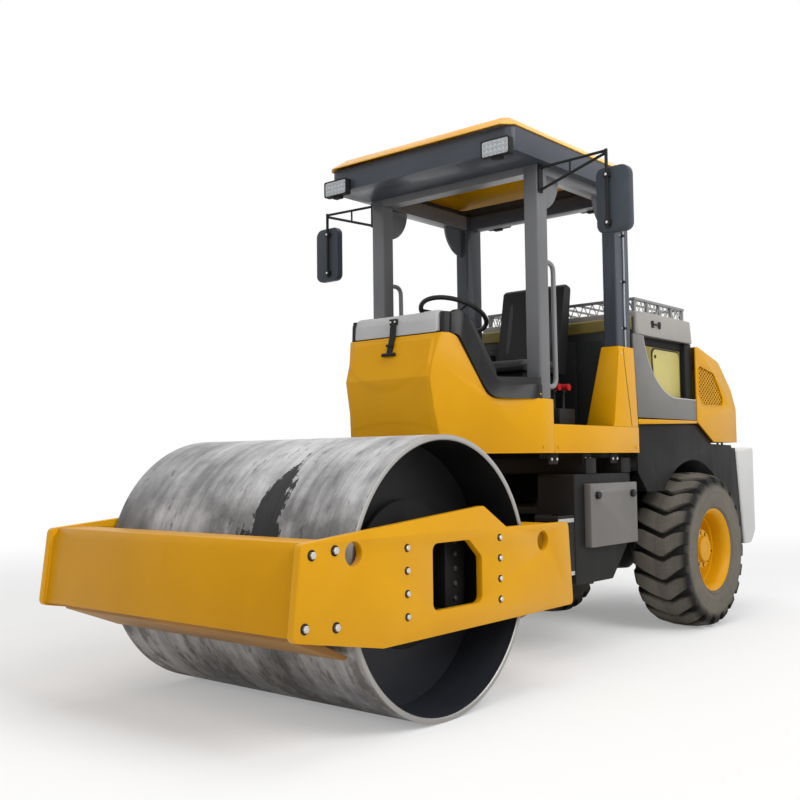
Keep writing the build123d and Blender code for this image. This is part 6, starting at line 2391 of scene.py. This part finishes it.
@dataclass
class SeatDress:
    """Operator's seat: two stuffed vinyl pads with sewn channels in a moulded shell."""

    shop: Workshop
    pressure: float = 4.0
    voxel: float = 0.006
    cap: float = 0.022
    frames: int = 20
    seam: float = 0.0045
    fill: float = 0.75
    cushion_x: float = 0.222
    cushion_z: float = 1.783
    # The shell's stations from its end: (step in, share that the outline shrinks by)
    shell_ends: Sequence[Flat] = ((0.0, 0.012), (0.008, 0.003), (0.02, 0.0))

    def build(self) -> None:
        """Make both pads and the shell."""
        self.low, self.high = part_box("seat")
        front = self.high.x - self.cushion_x
        for pad in (
            Pad("seat_cushion", (0.370, 0.452, 0.062), (front, 0.0, self.cushion_z), 2.0,
                (0.13, -0.13), (-0.06, 0.07), ("seat",)),
            Pad("seat_back", (0.510, 0.440, 0.046), (-0.418, 0.0, 2.075), -101.0, (0.12, -0.12), (-0.12, 0.02, 0.15)),
        ):
            self._pad(pad)
        self._shell()

    def _pad(self, pad: Pad) -> None:
        """Blow up one pad between its seams.

        Args:
            pad: What it looks like.
        """
        size = Vector(pad.size)
        piece = link(pad.name, block(pad.name, -size / 2, size / 2), self.shop.finishes.made[Slot.VINYL])
        round_edges(piece, size.z * 0.42, 4)
        voxels = piece.modifiers.new("voxels", "REMESH")
        voxels.mode = "VOXEL"
        voxels.voxel_size = self.voxel
        settle(piece)
        start = [vertex.co.copy() for vertex in piece.data.vertices]
        seams = [i for i, spot in enumerate(start) if self._sewn(pad, spot)]
        piece.vertex_groups.new(name="seams").add(seams, 1.0, "REPLACE")
        self._blow(piece, start)
        turn = Matrix.Rotation(math.radians(pad.tilt), 4, "Y")
        piece.data.transform(Matrix.Translation(Vector(pad.place)) @ turn)
        for vertex in piece.data.vertices:
            for axis in range(3):
                held = max(self.low[axis] + 0.001, vertex.co[axis])
                vertex.co[axis] = min(self.high[axis] - 0.001, held)
        finer = piece.modifiers.new("finer", "SUBSURF")
        finer.levels = finer.render_levels = 1
        settle(piece)
        hang(shade(piece, 80.0), REAR, pad.stands_for)

    def _sewn(self, pad: Pad, spot: Vector) -> bool:
        """Whether a point is on a channel, a cross seam of the middle panel, or the seam round the edge.

        Args:
            pad: The pad at the origin.
            spot: The point.

        Returns:
            True where it is held.
        """
        length, width, thick = pad.size
        across = min(abs(spot.y - column) for column in pad.columns)
        along = min(abs(spot.x - row) for row in pad.rows)
        border = abs(spot.x) > length * 0.47 or abs(spot.y) > width * 0.47
        return (
            across < self.seam
            or (abs(spot.y) < max(pad.columns) and along < self.seam)
            or (abs(spot.z + thick * 0.16) < 0.004 and border)
        )

    def _blow(self, pad: bpy.types.Object, start: Sequence[Vector]) -> None:
        """Run the cloth and cap how far its points moved.

        Args:
            pad: The remeshed pad at the origin.
            start: Its points before.
        """
        cloth = pad.modifiers.new("stuffing", "CLOTH")
        cloth.settings.use_pressure = True
        cloth.settings.uniform_pressure_force = self.pressure
        cloth.settings.effector_weights.gravity = 0.0
        cloth.settings.vertex_group_mass = "seams"
        cloth.point_cache.frame_start = 1
        cloth.point_cache.frame_end = self.frames
        for step in range(1, self.frames + 1):
            bpy.context.scene.frame_set(step)
        settle(pad)
        bpy.context.scene.frame_set(1)
        for vertex, before in zip(pad.data.vertices, start):
            move = vertex.co - before
            if move.length > self.cap:
                vertex.co = before + move * (self.cap / move.length)

    def _shell(self) -> None:
        """Moulded pan under the cushion and shell behind the back."""
        low, high = self.low, self.high
        outline = rounded([
            (high.x - 0.010, low.z + 0.001, 0.012), (high.x - 0.004, low.z + 0.040, 0.012),
            (-0.330, low.z + 0.034, 0.03), (-0.438, 2.324, 0.008), (-0.462, 2.342, 0.008),
            (low.x + 0.012, 2.326, 0.02), (-0.432, low.z + 0.001, 0.03),
        ], 4)
        wide = high.y - 0.012
        stations = [(step - wide, shrink) for step, shrink in self.shell_ends]
        stations += [(-y, shrink) for y, shrink in reversed(stations)]
        loops = []
        for y, shrink in stations:
            line = scaled(outline, mean(outline), 1.0 - shrink, 1.0 - shrink)
            loops.append([(x, y, z) for x, z in line])
        self.shop.piece("seat_shell", skin("shell", loops), Slot.BLACK_PLASTIC)


# ---------------------------------------------------------------- boxes and chassis
@dataclass
class ChassisDress:
    """Knobs, tread edges, brackets, lifting eyes, the tank's cap and the steering cylinders."""

    shop: Workshop
    cap: Sequence[Flat] = (
        (0.002, 0.0), (0.002, 0.052), (-0.008, 0.052), (-0.010, 0.046), (-0.014, 0.046), (-0.014, 0.056),
        (-0.034, 0.054), (-0.038, 0.049), (-0.038, 0.016), (-0.044, 0.013), (-0.044, 0.0),
    )
    eye_y: float = 0.420
    lower_step: float = 0.520
    studs: tuple[int, int] = (5, 3)
    bracket_x: Sequence[float] = (0.300, -0.080, -0.420)
    bracket_z: Flat = (1.150, 1.214)
    port: Sequence[Flat] = ((0.0, 0.0), (0.0, 0.011), (0.020, 0.011), (0.020, 0.008), (0.030, 0.008), (0.030, 0.0))
    barrel_radius: float = 0.0425

    def build(self) -> None:
        """Make all of it."""
        self._cover_knobs()
        self._filler_cap()
        self._lifting_eyes()
        self._tread_edges()
        self._brackets()
        for name in ("left", "right"):
            self._cylinder(name)

    def _cover_knobs(self) -> None:
        """Black knobs at the upper corners of the battery cover."""
        low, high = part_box("battery_cover")
        seats = [
            Seat((x, high.y - 0.017, high.z - 0.070), (0.0, 1.0, 0.0), 0.0235) for x in (low.x + 0.072, high.x - 0.072)
        ]
        self.shop.heads("cover_knobs", seats, Head.CAP, Slot.BLACK_PLASTIC)

    def _filler_cap(self) -> None:
        """A screw cap on its neck at the upper front corner of the fuel tank."""
        low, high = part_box("fuel_tank")
        place = Vector((high.x - 0.130, low.y, high.z - 0.120))
        self.shop.piece("tank_cap", lathe("cap", self.cap, place, "Y", 40), Slot.BLACK_PLASTIC)

    def _lifting_eyes(self) -> None:
        """Two bent lifting eyes on the counterweight's top."""
        x, top = middle("counterweight").x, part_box("counterweight")[1].z
        bow = ((-0.050, -0.004), (-0.040, 0.046), (0.040, 0.046), (0.050, -0.004))
        eyes = [tube("eye", [(x + dx, y, top + dz) for dx, dz in bow], 0.009, 16) for y in (-self.eye_y, self.eye_y)]
        self.shop.piece("lifting_eyes", eyes, Slot.DARK)

    def _tread_edges(self) -> None:
        """Worn bright edge strips and punched studs on the boarding steps."""
        low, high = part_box("steps")
        edges, seats = [], []
        for side in SIDES:
            for top in (self.lower_step, high.z - 0.020):
                start = (low.x + 0.006, side * (high.y - 0.004), top - 0.022)
                edges.append(block("edge", start, (high.x - 0.006, side * (high.y + 0.001), top + 0.0015)))
                for i in range(self.studs[0]):
                    for k in range(self.studs[1]):
                        place = (low.x + 0.028 + i * 0.032, side * (high.y - 0.04 - k * 0.045), top)
                        seats.append(Seat(place, (0.0, 0.0, 1.0), 0.007))
        self.shop.piece("tread_edges", edges, Slot.BARE, Look.RIM_LIGHT, 0.001)
        self.shop.heads("tread_studs", seats, Head.ROUND, Slot.DARK)

    def _brackets(self) -> None:
        """Hanging brackets with bright bolts under the platform."""
        low, high = self.bracket_z
        plates, seats = [], []
        for side in SIDES:
            for x in self.bracket_x:
                left, right = x - 0.05, x + 0.05
                corners = [(left, low, 0.015), (right, low, 0.015), (right, high, 0.0), (left, high, 0.0)]
                plates.append(plate("bracket", rounded(corners, 4), side * 0.580, side * 0.590))
                for shift in (-0.028, 0.028):
                    seats.append(Seat((x + shift, side * 0.590, 1.180), (0.0, side, 0.0), 0.010))
        self.shop.piece("platform_brackets", plates, Slot.DARK, width=0.002)
        self.shop.bolts("platform_bracket", seats)

    def _cylinder(self, name: str) -> None:
        """Turned barrel of one steering cylinder, with its gland nut and ports.

        Args:
            name: "left" or "right".
        """
        low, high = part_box(f"cylinder_barrel_{name}")
        centre = middle(f"cylinder_barrel_{name}")
        thick, radius = (high.z - low.z) / 2, self.barrel_radius
        start, end = low.x + thick * 2, high.x
        section = [
            (start, 0.0), (start, 0.038), (start + 0.006, radius), (end - 0.050, radius),
            (end - 0.048, thick - 0.0005), (end - 0.006, thick - 0.0005), (end - 0.002, 0.040), (end - 0.001, 0.0),
        ]
        turned = [lathe("barrel", section, Vector((0.0, centre.y, centre.z)), "X", 56)]
        for x in (start + 0.035, end - 0.075):
            turned.append(lathe("port", self.port, Vector((x, centre.y, centre.z + 0.040)), "Z", 20))
        self.shop.piece(f"barrel_{name}_turned", turned, Slot.DARK, body=f"barrel_{name}")


# ---------------------------------------------------------------- studio
@dataclass
class Studio:
    """Floor, lamps, backdrop and camera."""

    eye: Point = (5.3225, 3.7058, 1.1791)
    heading: float = -139.58
    pitch: float = 3.467
    roll: float = -0.0119
    lens: float = 45.39
    sensor: float = 36.0
    floor_reach: float = 60.0
    ambient: float = 0.42
    lamps: Sequence[tuple[str, Point, Point, float, float]] = (
        # (name, place, aim, edge of its square, watts)
        ("key", (1.5, 7.5, 6.5), (0.6, 0.0, 0.9), 5.0, 370.0),
        ("front", (8.5, 2.0, 5.0), (0.8, 0.0, 0.8), 5.0, 135.0),
        ("top", (-1.0, 1.0, 9.0), (0.0, 0.0, 1.0), 7.0, 320.0),
        ("back", (-6.5, -5.0, 5.0), (0.0, 0.0, 1.0), 7.5, 165.0),
    )

    def build(self) -> None:
        """Make the whole studio."""
        self._floor()
        self._world()
        for lamp in self.lamps:
            self._lamp(*lamp)
        self._camera()

    def _floor(self) -> None:
        """Lay the floor."""
        reach = self.floor_reach
        corners = [(-reach, -reach, 0), (reach, -reach, 0), (reach, reach, 0), (-reach, reach, 0)]
        floor = link("floor", mesh_of("floor", corners, [(0, 1, 2, 3)]), FloorFinish().build())

    def _world(self) -> None:
        """White backdrop to the camera, softer light to everything else."""
        world = bpy.data.worlds.new("studio")
        bpy.context.scene.world = world
        world.use_nodes = True
        world.node_tree.nodes.clear()
        tree = Tree(world.node_tree)
        soft, white = (
            tree.node("ShaderNodeBackground", {}, {"Color": (1, 1, 1, 1), "Strength": strength})
            for strength in (self.ambient, 1.0)
        )
        both = tree.node("ShaderNodeMixShader", {}, {0: tree.seen(), 1: soft, 2: white})
        tree.node("ShaderNodeOutputWorld", {}, {"Surface": both}, None)

    def _lamp(self, name: str, place: Point, aim: Point, size: float, power: float) -> None:
        """Hang one soft lamp.

        Args:
            name: Its name.
            place: Where it hangs.
            aim: What it points at.
            size: Edge of its square.
            power: Its power in watts.
        """
        data = bpy.data.lights.new(name, "AREA")
        data.size = size
        data.energy = power
        lamp = bpy.data.objects.new(name, data)
        bpy.context.scene.collection.objects.link(lamp)
        way = Vector(aim) - Vector(place)
        lamp.location = place
        lamp.rotation_euler = way.to_track_quat("-Z", "Y").to_euler()

    def _camera(self) -> None:
        """Set up the camera at the low front corner."""
        data = bpy.data.cameras.new("camera")
        data.lens = self.lens
        data.sensor_width = self.sensor
        camera = bpy.data.objects.new("camera", data)
        bpy.context.scene.collection.objects.link(camera)
        yaw = math.radians(self.heading)
        tilt = math.radians(self.pitch)
        way = Vector((math.cos(tilt) * math.cos(yaw), math.cos(tilt) * math.sin(yaw), math.sin(tilt)))
        side = way.cross(Vector((0, 0, 1))).normalized()
        over = side.cross(way)
        turned = Matrix((side, over, -way)).transposed() @ Matrix.Rotation(self.roll, 3, "Z")
        camera.matrix_world = Matrix.Translation(Vector(self.eye)) @ turned.to_4x4()
        bpy.context.scene.camera = camera


def main() -> None:
    """Build the studio and every sub-assembly, and report how many finishes there are."""
    logging.basicConfig(level=logging.INFO, format="%(name)s: %(message)s")
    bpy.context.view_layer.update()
    finishes = FinishShelf()
    finishes.build()
    finishes.dress_nodes()
    LOG.info("finishes: %d of them", len(finishes.made))
    shop = Workshop(finishes, FastenerTree(), PatternTree())
    stages: dict[str, Callable[[], None]] = {
        "studio": Studio().build,
        "soft panels": SoftPanels(shop).build,
        "drum": DrumDress(shop).build,
        "drum frame": DrumFrameDress(shop).build,
        "left wheel": WheelDress(shop, "left", 1.0).build,
        "right wheel": WheelDress(shop, "right", -1.0).build,
        "lamps": LampDress(shop).build,
        "mirrors": MirrorDress(shop).build,
        "cab": CabDress(shop).build,
        "cowl": CowlDress(shop).build,
        "engine bay": BayDress(shop).build,
        "hood": HoodDress(shop).build,
        "seat": SeatDress(shop).build,
        "chassis": ChassisDress(shop).build,
    }
    for name, build in stages.items():
        build()
    bpy.context.scene.view_settings.view_transform = "Standard"


if __name__ == "__main__":
    main()
